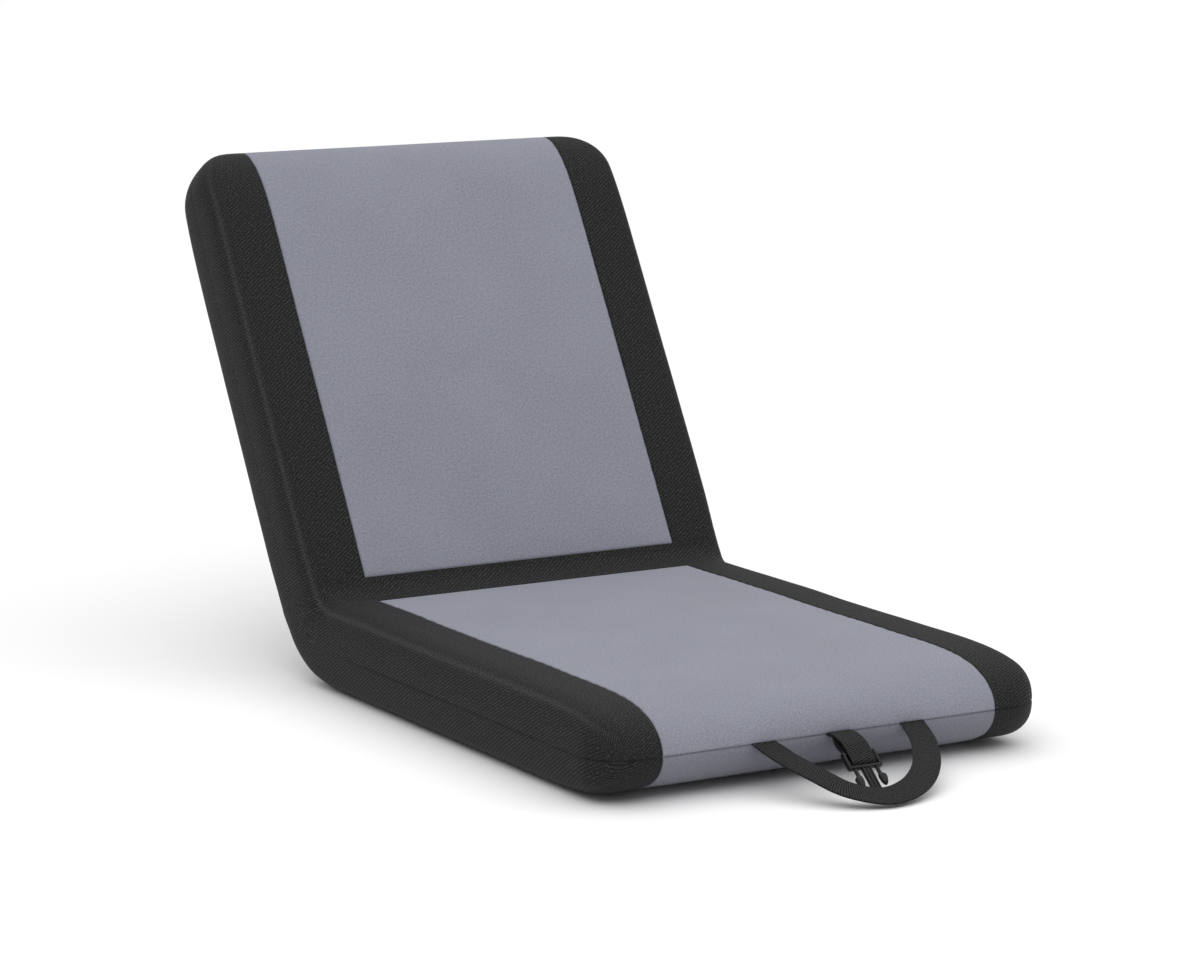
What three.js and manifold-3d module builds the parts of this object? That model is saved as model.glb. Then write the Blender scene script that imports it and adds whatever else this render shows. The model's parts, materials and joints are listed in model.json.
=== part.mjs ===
import * as THREE from 'three';
import { mergeVertices } from 'three/addons/utils/BufferGeometryUtils.js';
import Module from 'manifold-3d';

// Folding floor chair: two padded slabs joined by a pair of toothed recline hinges, with a carry
// handle and a clip that holds it shut. Millimetres. The origin is in the middle of the flat base,
// +X to the right seen from the front, +Y to the rear, +Z up. Left means the -X side.

const wasm = await Module();
wasm.setup();

// Padded slabs
const chairWidth = 470;
const padThickness = 86;
const seatLength = 547; // hinge line to front tip
const backLength = 495; // hinge line to top tip
const reclineAngle = 30.3; // from upright, as shown
const closedAngle = 6; // between the two faces when folded shut
const hingeDepth = 3.5; // hinge line below both faces
const noseLength = 140;
const noseExponent = 3.85;
const cornerRadius = 40;
const sideRounding = 30;
const sideExponent = 2.6;
const seatCrown = 3;
const backCrown = 2;

// Covers
const sideBand = 61; // chair's side to the panel's seam
const creaseReach = 20; // half of the black band across the crease
const creaseRoll = 8.2; // hinge line to the surface of that band
const skinThickness = 1.5;
const seamGap = 0.3;

// Steel frames
const tubeRadius = 9.5;
const tubeWall = 1.5;
const frameEdge = 45; // chair's side to the middle of the tube
const frameInset = 75; // tip to the frame's end bar
const frameBend = 50;
const legStart = 56; // hinge line to the tube ends
const crossTubeRadius = 8;
const crossTubeRun = 150;

// Recline hinges
const earThickness = 2.5;
const armThickness = 4;
const eyeRadius = 5.6;
const sectorRadius = 38;
const toothDepth = 4.5;
const toothCount = 7;
const lockedSteps = 5; // teeth between the shown angle and flat
const pawlAngle = 105; // where the pawl meets the sector, below the level line to the rear
const pawlLift = 10; // degrees the pawl turns to clear the teeth
const pawlPivotRun = 36;
const pawlPivotDepth = 42;
const pawlHubRadius = 6.5;
const pinRadius = 3;
const pinHeadRadius = 5.2;
const pinHeadHeight = 2;
const springPinRun = 51;
const springPinDepth = 57;
const springPinRadius = 2.5;
const springThickness = 0.9;
const springWidth = 6;
const springTipRun = 23;
const springTipDepth = 48;
const earHeelRun = 12.5;
const earHeelDepth = 47.5;
const rivetRadius = 2.5;
const rivetInset = 10; // tube end to the first rivet
const rivetPitch = 24;
const rivetEdge = 5; // metal left beyond a rivet
const runningClearance = 0.3;
const pocketClearance = 1.5;
const hipFoamInside = 10; // foam kept this far from the hinge line

// Straps and clip
const webWidth = 25;
const webThickness = 2.2;
const tapeThickness = 1.6;
const seamEnd = 1; // thickness of a strap where it enters a seam
const strapOffset = 5.75; // straps stand this far right of the middle
const handleSpan = 155.5;
const handleReach = 100.5;
const handleDroop = 20;
const tapeNeck = 8; // seam to where the two layers of a tape part
const tapeSlackUpper = 3.5;
const tapeSlackLower = 6;
const clipBarRun = 39; // seam to the bar that the tape goes round
const clipBarDrop = 20;
const clipDroop = 36;
const clipWidth = 36;
const clipThickness = 5;
const clipBar = 4;
const clipSlot = 5;
const prongEnd = 29; // tape bar to the tips of the prongs
const prongWidth = 4;
const bulbWidth = 9;
const bulbLength = 15;
const guideEnd = 33;
const guideRib = 2.2;
const guideRibPitch = 3.6;
const socketDrape = 20; // how far the socket's tape stands off the seam as it goes over the edge
const socketBarDrop = 44;
const socketLength = 34;
const socketThickness = 10;
const socketWall = 1.8;

// Derived places
const rad = THREE.MathUtils.degToRad;
const panelWidth = chairWidth - 2 * sideBand;
const frameHalfWidth = chairWidth / 2 - frameEdge;
const midDepth = padThickness / 2 - hingeDepth; // seam plane below the hinge line
const hingeZ = padThickness - hingeDepth;
const hingeY = (seatLength - noseLength) / 2;
const backTurn = rad(90 - reclineAngle);
const halfOpening = (Math.PI - backTurn) / 2; // from either face to the middle of the opening
const tongueEnd = legStart + rivetInset + rivetPitch + rivetRadius + rivetEdge;
const rivetRuns = [legStart + rivetInset, legStart + rivetInset + rivetPitch];
const toothPitch = backTurn / lockedSteps;
const earOffset = tubeRadius + runningClearance; // hinge middle to the inner face of an ear
const hingeHalfWidth = earOffset + earThickness;
const pocketHalfWidth = hingeHalfWidth + runningClearance + pinHeadHeight + pocketClearance;
const slotHalfWidth = armThickness / 2 + pocketClearance;

const materials = {
  greyCloth: cloth(0x8f919c),
  blackCloth: cloth(0x2b2b2d),
  foam: new THREE.MeshStandardMaterial({ color: 0xe6dfc4, roughness: 0.95 }),
  steel: new THREE.MeshStandardMaterial({ color: 0x9a9da0, roughness: 0.45, metalness: 0.9 }),
  paintedTube: new THREE.MeshStandardMaterial({ color: 0x24262a, roughness: 0.5, metalness: 0.3 }),
  webbing: cloth(0x252527),
  clip: new THREE.MeshStandardMaterial({ color: 0x303236, roughness: 0.35 }),
};

function cloth(color) {
  return new THREE.MeshStandardMaterial({ color, roughness: 0.9 });
}

// Shares that place rows and columns of the padded surfaces
const flatRunShares = [0.33, 0.67, 1];
const noseAngles = [79, 67, 54, 41, 27, 13, 0];
const panelShares = [-1, -0.5, 0.5, 1];
const pinSides = 10;
const tubeSides = 10;
const sideShares = [0, 0.45, 0.7, 0.86, 0.945, 0.985, 1];
const handleRouteShares = [
  [-1, 0], [-0.9, 0.28], [-0.74, 0.56], [-0.54, 0.84], [-0.18, 1],
  [0.235, 0.925], [0.62, 0.68], [0.9, 0.31], [1, 0],
];
const socketDrapeShares = [[0, 0], [0.15, 0.11], [0.375, 0.05], [0.59, -0.2], [0.75, -0.6], [0.85, -1.1]];
const socketWindowShares = [0.3, 0.8];

// A closed geometry from points and triangles, turned outwards if its volume comes out negative
function closedGeometry(points, faces) {
  const volume = faces.reduce((sum, [a, b, c]) => {
    const [p, q, r] = [points[a], points[b], points[c]];
    return sum + p[0] * (q[1] * r[2] - q[2] * r[1]) + p[1] * (q[2] * r[0] - q[0] * r[2])
      + p[2] * (q[0] * r[1] - q[1] * r[0]);
  }, 0);
  const turned = volume < 0 ? faces.map(([a, b, c]) => [a, c, b]) : faces;
  const geometry = new THREE.BufferGeometry();
  geometry.setAttribute('position', new THREE.Float32BufferAttribute(points.flat(), 3));
  geometry.setIndex(turned.flat());
  geometry.computeVertexNormals();
  return geometry;
}

// Two matching grids of points, one over the other, closed into a sheet with a wall all round
function sheet(outer, inner) {
  const rows = outer.length;
  const cols = outer[0].length;
  const at = (layer, row, col) => (layer * rows + row) * cols + col;
  const faces = [];
  const quad = (a, b, c, d) => faces.push([a, b, c], [a, c, d]);
  for (let row = 0; row < rows - 1; row += 1) {
    for (let col = 0; col < cols - 1; col += 1) {
      quad(at(0, row, col), at(0, row, col + 1), at(0, row + 1, col + 1), at(0, row + 1, col));
      quad(at(1, row, col), at(1, row + 1, col), at(1, row + 1, col + 1), at(1, row, col + 1));
    }
    quad(at(0, row, 0), at(0, row + 1, 0), at(1, row + 1, 0), at(1, row, 0));
    quad(at(0, row, cols - 1), at(1, row, cols - 1), at(1, row + 1, cols - 1), at(0, row + 1, cols - 1));
  }
  for (let col = 0; col < cols - 1; col += 1) {
    quad(at(0, 0, col), at(1, 0, col), at(1, 0, col + 1), at(0, 0, col + 1));
    quad(at(0, rows - 1, col), at(0, rows - 1, col + 1), at(1, rows - 1, col + 1), at(1, rows - 1, col));
  }
  return closedGeometry([...outer.flat(), ...inner.flat()], faces);
}

// Matching closed rings joined in order, with a fan over each end
function loft(rings) {
  const count = rings[0].length;
  const last = (rings.length - 1) * count;
  const faces = [];
  for (let ring = 0; ring < rings.length - 1; ring += 1) {
    for (let i = 0; i < count; i += 1) {
      const next = (i + 1) % count;
      const [a, b] = [ring * count + i, ring * count + next];
      faces.push([a, b, b + count], [a, b + count, a + count]);
    }
  }
  for (let i = 1; i < count - 1; i += 1) {
    faces.push([0, i + 1, i], [last, last + i, last + i + 1]);
  }
  return closedGeometry(rings.flat(), faces);
}

function toSolid(geometry) {
  const bare = geometry.clone();
  bare.deleteAttribute('normal');
  bare.deleteAttribute('uv');
  const merged = mergeVertices(bare);
  return new wasm.Manifold(new wasm.Mesh({
    numProp: 3,
    vertProperties: merged.attributes.position.array,
    triVerts: Uint32Array.from(merged.index.array),
  }));
}

function toGeometry(solid) {
  const mesh = solid.getMesh();
  const geometry = new THREE.BufferGeometry();
  geometry.setAttribute('position', new THREE.Float32BufferAttribute(mesh.vertProperties, 3));
  geometry.setIndex(Array.from(mesh.triVerts));
  geometry.computeVertexNormals();
  return geometry;
}

function carve(body, tools) {
  return toGeometry(tools.reduce((solid, tool) => solid.subtract(toSolid(tool)), toSolid(body)));
}

function join(pieces) {
  return toGeometry(pieces.slice(1).reduce((solid, piece) => solid.add(toSolid(piece)), toSolid(pieces[0])));
}

// An outline in the Y-Z plane, given thickness along X
function plate(shape, thickness, middle = 0) {
  const geometry = new THREE.ExtrudeGeometry(shape, { depth: thickness, bevelEnabled: false });
  geometry.translate(0, 0, middle - thickness / 2);
  const turn = new THREE.Matrix4().makeBasis(
    new THREE.Vector3(0, 1, 0), new THREE.Vector3(0, 0, 1), new THREE.Vector3(1, 0, 0));
  return geometry.applyMatrix4(turn);
}

function rod(radius, length, y, z, sides = 16) {
  return new THREE.CylinderGeometry(radius, radius, length, sides).rotateZ(Math.PI / 2).translate(0, y, z);
}

function shapeOf(points) {
  return new THREE.Shape(points.map(([u, v]) => new THREE.Vector2(u, v)));
}

// The outline of a belt pulled tight round circles given as [y, z, radius]
function beltShape(circles, sides = 14) {
  const points = circles.flatMap(([y, z, radius]) => Array.from({ length: sides }, (_, i) => {
    const angle = (i / sides) * 2 * Math.PI;
    return [y + radius * Math.cos(angle), z + radius * Math.sin(angle)];
  }));
  points.sort((a, b) => a[0] - b[0] || a[1] - b[1]);
  const turn = (o, a, b) => (a[0] - o[0]) * (b[1] - o[1]) - (a[1] - o[1]) * (b[0] - o[0]);
  const halfHull = (list) => list.reduce((chain, point) => {
    while (chain.length > 1 && turn(chain.at(-2), chain.at(-1), point) <= 0) chain.pop();
    chain.push(point);
    return chain;
  }, []).slice(0, -1);
  return shapeOf([...halfHull(points), ...halfHull([...points].reverse())]);
}

// A pin or rivet along X with a domed head at each end
function headedPin(radius, grip, headRadius, headHeight) {
  const shoulder = grip / 2 + runningClearance;
  const headShares = [[1, 0], [1, 0.45], [0.7, 1], [0, 1]];
  const upper = headShares.map(([out, up]) => (
    new THREE.Vector2(out * headRadius, shoulder + up * headHeight)));
  const lower = [...upper].reverse().map((point) => new THREE.Vector2(point.x, -point.y));
  const shaft = [new THREE.Vector2(radius, -shoulder), new THREE.Vector2(radius, shoulder)];
  return new THREE.LatheGeometry([...lower, ...shaft, ...upper], pinSides).rotateZ(Math.PI / 2);
}

// The padded slabs. A place on a slab is its run from the hinge line, its depth below that line
// and x; sign is -1 for the seat, which runs forward, and 1 for the back before it is tilted.
const seat = { name: 'seat', sign: -1, length: seatLength, crown: seatCrown };
const back = { name: 'back', sign: 1, length: backLength, crown: backCrown };

const place = (slab, x, run, depth) => [x, slab.sign * run, -depth];

// Height of the face above the hinge line: it ramps up from the crease so that the folded faces clear
const rampEnd = (hingeDepth + seamGap) / Math.tan(rad(closedAngle / 2));
const faceHeight = (run) => Math.min(hingeDepth, run * Math.tan(rad(closedAngle / 2)) - seamGap);

// Rows along a slab: a flat run, then the nose, a quarter superellipse that shrinks with the inset
function slabRows(slab, start, inset) {
  const flatEnd = slab.length - noseLength;
  const flat = flatRunShares.map((share) => rampEnd + share * (flatEnd - rampEnd));
  const runs = [start, ...(start < creaseReach ? [creaseReach] : []), rampEnd, ...flat];
  const rows = runs.map((run) => ({ run, lift: 1 }));
  const nose = noseAngles.map((angle) => ({
    run: flatEnd + (noseLength - inset) * Math.cos(rad(angle)) ** (2 / noseExponent),
    lift: Math.sin(rad(angle)),
  }));
  return [...rows, ...nose];
}

// Half width: straight sides, then a quarter circle in plan round each front or top corner
function halfWidth(slab, run, inset) {
  const past = Math.max(0, run - (slab.length - cornerRadius));
  const arc = Math.sqrt(Math.max(0, (cornerRadius - inset) ** 2 - past ** 2));
  return chairWidth / 2 - cornerRadius + arc;
}

// Share of the full thickness at x: a superellipse down to the seam over the rounded side
function edgeShare(x, width, inset) {
  const round = sideRounding - inset;
  const past = Math.min(1, Math.max(0, Math.abs(x) - width + round) / round);
  return (1 - past ** sideExponent) ** (1 / sideExponent);
}

// The crown swells between the panel's seams and fades towards the crease and the nose
function crownHeight(slab, x, run) {
  const across = Math.max(0, 1 - (x / (panelWidth / 2)) ** 2);
  const along = Math.min(1, Math.max(0, (run - creaseReach) / (slab.length - noseLength / 2 - creaseReach)));
  return slab.crown * across * Math.sin(Math.PI * along) ** 2;
}

// Depth of the surface at x on a row; face is true for the half that the sitter touches
function surfaceDepth(slab, face, x, row, width, inset) {
  const half = face
    ? midDepth + faceHeight(Math.max(row.run, creaseReach)) + crownHeight(slab, x, row.run)
    : padThickness / 2;
  const rise = Math.max(0, row.lift * (half - inset) - seamGap / 2) * edgeShare(x, width, inset);
  return midDepth + (face ? -1 : 1) * (seamGap / 2 + rise);
}

// The x of each column of a cover piece
function columns(part, width) {
  const edge = panelWidth / 2 + seamGap / 2;
  const side = sideShares.map((share) => edge + share * (width - edge));
  const left = side.map((x) => -x).reverse();
  const panel = panelShares.map((share) => share * (panelWidth / 2 - seamGap / 2));
  return { panel, left, right: side, full: [...left, ...panel.slice(1, -1), ...side] }[part];
}

function slabGrid(slab, face, part, start, inset) {
  return slabRows(slab, start, inset).map((row) => {
    const width = halfWidth(slab, row.run, inset);
    const depthAt = (x) => surfaceDepth(slab, face, x, row, width, inset);
    return columns(part, width).map((x) => place(slab, x, row.run, depthAt(x)));
  });
}

function slabCover(slab, face, part) {
  const start = creaseReach + seamGap / 2;
  return sheet(slabGrid(slab, face, part, start, 0), slabGrid(slab, face, part, start, skinThickness));
}

function slabFoam(slab, face) {
  const inset = skinThickness + seamGap;
  const grid = slabGrid(slab, face, 'full', seamGap, inset).slice(0, -1);
  return carve(loft(grid), [...foamPockets(slab), tubeSweep(slab, tubeRadius + seamGap, legStart - seamGap)]);
}

// Where the seam, face and rear of the covers run as they turn round the hinge from seat to back.
// Each row has its place in the Y-Z plane, measured from the hinge line.
const faceWay = (slab, run, height) => {
  const turn = slab === seat ? 0 : backTurn;
  const [y, z] = [slab.sign * run, height];
  return [y * Math.cos(turn) - z * Math.sin(turn), y * Math.sin(turn) + z * Math.cos(turn)];
};

// Top of the crease band: an arc through both its seams that clears the hinge eyes
const bandShares = [-1, -0.75, -0.5, -0.25, 0, 0.25, 0.5, 0.75, 1];

function creaseTop(share, inset) {
  const reach = creaseReach - seamGap / 2;
  const seamTurn = halfOpening - Math.atan2(faceHeight(creaseReach), reach);
  const seamDistance = Math.hypot(reach, faceHeight(creaseReach));
  const rise = seamDistance * Math.cos(seamTurn) - creaseRoll;
  const arc = (rise ** 2 + (seamDistance * Math.sin(seamTurn)) ** 2) / (2 * rise);
  const centre = creaseRoll + arc;
  const angle = share * seamTurn;
  const out = centre * Math.cos(angle) - Math.sqrt(arc ** 2 - (centre * Math.sin(angle)) ** 2);
  const middle = Math.PI - halfOpening;
  const [cy, cz] = [centre * Math.cos(middle), centre * Math.sin(middle)];
  const [y, z] = [out * Math.cos(middle - angle), out * Math.sin(middle - angle)];
  return [y + ((y - cy) * inset) / arc, z + ((z - cz) * inset) / arc];
}

// The seam line and the rear surface follow the slabs, then swing round the hinge line
function bandRow(share, depth) {
  const step = Math.abs(share) * 4 - 2;
  const slab = share < 0 ? seat : back;
  if (step > 0) return faceWay(slab, (step / 2) * (creaseReach - seamGap / 2), -depth);
  const polar = -Math.PI / 2 + backTurn * (share + 0.5);
  return [depth * Math.cos(polar), depth * Math.sin(polar)];
}

function bandGrid(face, inset) {
  const width = chairWidth / 2 - inset;
  const rear = padThickness - hingeDepth - inset;
  return bandShares.map((share) => {
    const seamLine = bandRow(share, midDepth + (face ? -1 : 1) * (seamGap / 2));
    const far = face ? creaseTop(share, inset) : bandRow(share, rear);
    return columns('full', width).map((x) => {
      const reach = edgeShare(x, width, inset);
      return [x, seamLine[0] + (far[0] - seamLine[0]) * reach, seamLine[1] + (far[1] - seamLine[1]) * reach];
    });
  });
}

const bandCover = (face) => sheet(bandGrid(face, 0), bandGrid(face, skinThickness));

// Foam in the wedge behind the hinge line, slit for the toothed sectors
function hipFoam() {
  const inset = skinThickness + seamGap;
  const width = chairWidth / 2 - inset;
  const rear = padThickness - hingeDepth - inset;
  const xs = columns('full', width);
  const rings = [-0.5, -0.25, 0, 0.25, 0.5].map((share) => {
    const at = (x, depth) => [x, ...bandRow(share, depth)];
    const swell = (x, reach) => midDepth + reach * edgeShare(x, width, inset);
    const outside = xs.map((x) => at(x, swell(x, rear - midDepth)));
    const inside = xs.slice(1, -1).map((x) => at(x, swell(x, hipFoamInside - midDepth)));
    return [...outside, ...inside.reverse()];
  });
  const rooms = hingeSides.flatMap((x) => [sectorSlot(), earRoom()].map((tool) => tool.translate(x, 0, 0)));
  return carve(loft(rings), rooms);
}

// Frames: a U of tube along the slab's middle plane, its open ends towards the hinge
const hingeSides = [-frameHalfWidth, frameHalfWidth];

function framePath(slab, start) {
  const end = slab.length - frameInset - frameBend;
  const right = [0, 0.2, 0.4, 0.6, 0.8, 1].map((share) => {
    const turn = share * (Math.PI / 2);
    const x = frameHalfWidth - frameBend * (1 - Math.cos(turn));
    return { x, run: end + frameBend * Math.sin(turn), turn };
  });
  const left = [...right].reverse().map(({ x, run, turn }) => ({ x: -x, run, turn: Math.PI - turn }));
  return [
    { x: frameHalfWidth, run: start, turn: 0 }, ...right, ...left,
    { x: -frameHalfWidth, run: start, turn: Math.PI },
  ];
}

// A round bar of one radius along the frame's path
function tubeSweep(slab, radius, start = legStart, sides = tubeSides) {
  const rings = framePath(slab, start).map(({ x, run, turn }) => Array.from({ length: sides }, (_, i) => {
    const angle = (i / sides) * 2 * Math.PI;
    const out = radius * Math.cos(angle);
    const depth = midDepth + radius * Math.sin(angle);
    return place(slab, x + out * Math.cos(turn), run + out * Math.sin(turn), depth);
  }));
  return loft(rings);
}

function rivetBores(slab, radius) {
  return rivetRuns.flatMap((run) => hingeSides.map((x) => (
    rod(radius, 4 * tubeRadius, slab.sign * run, -midDepth).translate(x, 0, 0))));
}

function frameTube(slab) {
  const bores = rivetBores(slab, rivetRadius + runningClearance);
  const hollow = tubeSweep(slab, tubeRadius - tubeWall, legStart - tubeRadius);
  const slots = slab === back ? hingeSides.map((x) => tongueSlot().translate(x, 0, 0)) : [];
  return carve(tubeSweep(slab, tubeRadius), [hollow, ...bores, ...slots]);
}

// The cut in each end of the back tube that takes the arm's tongue
function tongueSlot() {
  const length = 2 * (tongueEnd - legStart + runningClearance);
  const box = new THREE.BoxGeometry(armThickness + 2 * runningClearance, length, 4 * tubeRadius);
  return box.translate(0, back.sign * legStart, -midDepth);
}

// A straight tube across the frame, its ends shaped to the legs
function crossTube(slab) {
  const bar = crossRod(slab, crossTubeRadius, 2 * frameHalfWidth);
  const bore = crossRod(slab, crossTubeRadius - tubeWall, 3 * frameHalfWidth);
  return carve(bar, [bore, tubeSweep(slab, tubeRadius + seamGap)]);
}

function crossRod(slab, radius, length) {
  return rod(radius, length, slab.sign * crossTubeRun, -midDepth, tubeSides);
}

const crossTubeChannel = (slab) => crossRod(slab, crossTubeRadius + seamGap, 2 * frameHalfWidth);

// Hinge outlines as circles [run, depth, radius] on a slab
const earCircles = [
  [0, 0, eyeRadius],
  [earHeelRun, earHeelDepth, eyeRadius],
  [springPinRun, springPinDepth, springPinRadius + rivetEdge],
  [tongueEnd - tubeRadius, midDepth, tubeRadius],
];
const armCircles = [
  [0, 0, eyeRadius],
  [rivetRuns[0], midDepth, tubeRadius - tubeWall],
  [tongueEnd - tubeRadius, midDepth, tubeRadius - tubeWall],
];
const onSlab = (slab, circles, grow = 0) => circles.map(([run, depth, radius]) => (
  [slab.sign * run, -depth, radius + grow]));

function sectorSlot() {
  return rod(sectorRadius + pocketClearance, 2 * slotHalfWidth, 0, 0, 24);
}

const earRoom = () => plate(beltShape(onSlab(seat, earCircles, pocketClearance)), 2 * pocketHalfWidth);
const armRoom = () => plate(beltShape(onSlab(back, armCircles, pocketClearance)), 2 * slotHalfWidth);

// Room in a slab's foam for its share of both hinges
function foamPockets(slab) {
  const eye = rod(eyeRadius + 2 * pocketClearance, 2 * pocketHalfWidth, 0, 0);
  // The ears lie in the back's foam at both ends of its travel: flat, and folded shut
  const earRooms = [0, rad(closedAngle) - Math.PI].map((turn) => earRoom().rotateX(turn));
  const own = slab === seat ? [earRoom()] : [armRoom(), rivetRoom(back), ...earRooms];
  const tools = [eye, sectorSlot(), ...own];
  const placed = hingeSides.flatMap((x) => tools.map((tool) => tool.clone().translate(x, 0, 0)));
  return [crossTubeChannel(slab), ...placed];
}

// Room for the rivet heads either side of a tube
function rivetRoom(slab) {
  const circles = rivetRuns.map((run) => [run, midDepth, pinHeadRadius]);
  return plate(beltShape(onSlab(slab, circles, pocketClearance)), 2 * pocketHalfWidth);
}

function hingeEar() {
  const bores = [
    [0, 0, pinRadius],
    [pawlPivotRun, pawlPivotDepth, pinRadius],
    [springPinRun, springPinDepth, springPinRadius],
    ...rivetRuns.map((run) => [run, midDepth, rivetRadius]),
  ].map(([run, depth, radius]) => rod(radius + runningClearance, 4 * earThickness, -run, -depth, pinSides));
  return carve(plate(beltShape(onSlab(seat, earCircles)), earThickness), bores);
}

// Ratchet teeth on the arm: each has one steep flank, which the pawl holds, and one long slope
function sectorShape() {
  const toothShares = [[-0.1, 0.06], [0.12, 0], [0.38, 1], [0.5, 1]];
  const root = sectorRadius - toothDepth;
  const rim = [];
  for (let gapIndex = lockedSteps - toothCount + 1; gapIndex <= lockedSteps; gapIndex += 1) {
    for (const [along, height] of toothShares) {
      const angle = (gapIndex + along) * toothPitch - rad(pawlAngle) - backTurn;
      const radius = root + height * toothDepth;
      rim.push([radius * Math.cos(angle), radius * Math.sin(angle)]);
    }
  }
  return shapeOf([[0, 0], ...rim]);
}

function hingeArm() {
  const boreRadius = rivetRadius + runningClearance;
  const bores = rivetRuns.map((run) => rod(boreRadius, 4 * armThickness, run, -midDepth, pinSides));
  const body = join([
    plate(beltShape(onSlab(back, armCircles)), armThickness),
    plate(sectorShape(), armThickness),
    rod(eyeRadius, 2 * tubeRadius, 0, 0),
  ]);
  return carve(body, [...bores, rod(pinRadius + runningClearance, 4 * tubeRadius, 0, 0, pinSides)]);
}

// The pawl, drawn dropped into a tooth gap and measured from its own pivot
function pawl() {
  const nosePlace = (distance, teethForward) => {
    const polar = -rad(pawlAngle) - teethForward * toothPitch;
    return [distance * Math.cos(polar) + pawlPivotRun, distance * Math.sin(polar) + pawlPivotDepth];
  };
  const root = sectorRadius - toothDepth + runningClearance;
  const clear = sectorRadius + 2 * runningClearance;
  const nose = shapeOf([
    nosePlace(root, 0), nosePlace(clear, 0.45), nosePlace(clear + runningClearance, 0.95),
    nosePlace(clear + toothDepth, 0.8), nosePlace(sectorRadius + toothDepth, 0.05),
  ]);
  const [y, z] = nosePlace(sectorRadius + toothDepth, 0.35);
  const body = join([
    plate(beltShape([[0, 0, pawlHubRadius], [y, z, toothDepth / 2]]), armThickness),
    plate(nose, armThickness),
    rod(pawlHubRadius, 2 * tubeRadius, 0, 0),
  ]);
  return carve(body, [rod(pinRadius + runningClearance, 4 * tubeRadius, 0, 0, pinSides)]);
}

// A route in the Y-Z plane moved sideways, to the left of its way for a positive distance
function offsetRoute(route, distance, startShare = 1) {
  return route.map(([y, z], i) => {
    const reach = i === 0 ? distance * startShare : distance;
    const before = route[Math.max(0, i - 1)];
    const after = route[Math.min(route.length - 1, i + 1)];
    const [dy, dz] = [after[0] - before[0], after[1] - before[1]];
    const length = Math.hypot(dy, dz);
    return [y - (reach * dz) / length, z + (reach * dy) / length];
  });
}

// Leaf spring: hooked round its pin, its free end under the pawl
function pawlSpring() {
  const bend = springPinRadius + runningClearance + springThickness / 2;
  const hook = [342, 312, 282, 252, 222, 192, 162, 132, 102].map((angle) => [
    bend * Math.cos(rad(angle)) - springPinRun, bend * Math.sin(rad(angle)) - springPinDepth,
  ]);
  const route = [...hook, [-springTipRun, -springTipDepth]];
  const half = springThickness / 2;
  return plate(shapeOf([...offsetRoute(route, half), ...offsetRoute(route, -half).reverse()]), springWidth);
}

// Straps and clip. A strap's route is in the Y-Z plane, from its seam outwards.
function quadratic(from, control, to, steps = 5) {
  const corners = [from, control, to].map(([y, z]) => new THREE.Vector2(y, z));
  const curve = new THREE.QuadraticBezierCurve(...corners);
  return curve.getPoints(steps).map((point) => [point.x, point.y]);
}

// A tape sewn to itself: a neck from the seam, then a loop out round a bar and back. `turn` is the
// way the tape points at the bar; the legs run straight past the rear bar before they close up.
function tapeLoop(neck, bar, turn, slacks) {
  const bend = clipBar / 2 + seamGap + tapeThickness / 2;
  const straight = clipSlot + 2 * clipBar;
  const start = neck.at(-1);
  const leg = (sign, slack) => {
    const [sideY, sideZ] = [sign * Math.sin(turn), -sign * Math.cos(turn)];
    const end = [bar[0] + sideY * bend, bar[1] + sideZ * bend];
    const shoulder = [end[0] - straight * Math.cos(turn), end[1] - straight * Math.sin(turn)];
    const middle = [(start[0] + shoulder[0]) / 2, (start[1] + shoulder[1]) / 2];
    const control = [middle[0] + sideY * slack, middle[1] + sideZ * slack];
    return [...quadratic(start, control, shoulder), end];
  };
  const round = [-60, -30, 0, 30, 60].map((angle) => [
    bar[0] + bend * Math.cos(turn + rad(angle)), bar[1] + bend * Math.sin(turn + rad(angle)),
  ]);
  const loop = [...leg(1, slacks[0]), ...round, ...leg(-1, slacks[1]).reverse()];
  const half = tapeThickness / 2;
  const neckSide = (sign) => offsetRoute(neck, sign * half, seamEnd / tapeThickness);
  const outside = offsetRoute(loop, -half).slice(1, -1);
  const shape = shapeOf([...neckSide(-1), ...outside, ...neckSide(1).reverse()]);
  shape.holes.push(shapeOf(offsetRoute(loop, half).slice(3, -3)));
  return plate(shape, webWidth);
}

// The carry handle: flat webbing laid in a hook shape, its ends cut square at the seam
function handle() {
  const points = handleRouteShares.map(([across, out]) => (
    new THREE.Vector3((across * handleSpan) / 2, -out * handleReach, 0)));
  const curve = new THREE.CatmullRomCurve3(points, false, 'centripetal');
  const steps = 24;
  const rings = curve.getSpacedPoints(steps).map((point, i) => {
    const atSeam = i === 0 || i === steps;
    const tangent = curve.getTangentAt(i / steps);
    const across = atSeam ? [Math.sign(tangent.y) * -1, 0] : [-tangent.y, tangent.x];
    const up = (atSeam ? seamEnd : webThickness) / 2;
    const [dx, dy] = [across[0] * (webWidth / 2), across[1] * (webWidth / 2)];
    return [
      [point.x + dx, point.y + dy, up], [point.x - dx, point.y - dy, up],
      [point.x - dx, point.y - dy, -up], [point.x + dx, point.y + dy, -up],
    ];
  });
  return loft(rings);
}

// Flat mouldings of the clip: outlines in x and distance from the tape bar, thick along z
function moulding(points, thickness) {
  const geometry = new THREE.ExtrudeGeometry(shapeOf(points.map(([x, out]) => [x, -out])), {
    depth: thickness, bevelEnabled: false,
  });
  return geometry.translate(0, 0, -thickness / 2);
}

function block(low, high, from, to, thickness) {
  return moulding([[low, from], [high, from], [high, to], [low, to]], thickness);
}

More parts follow.
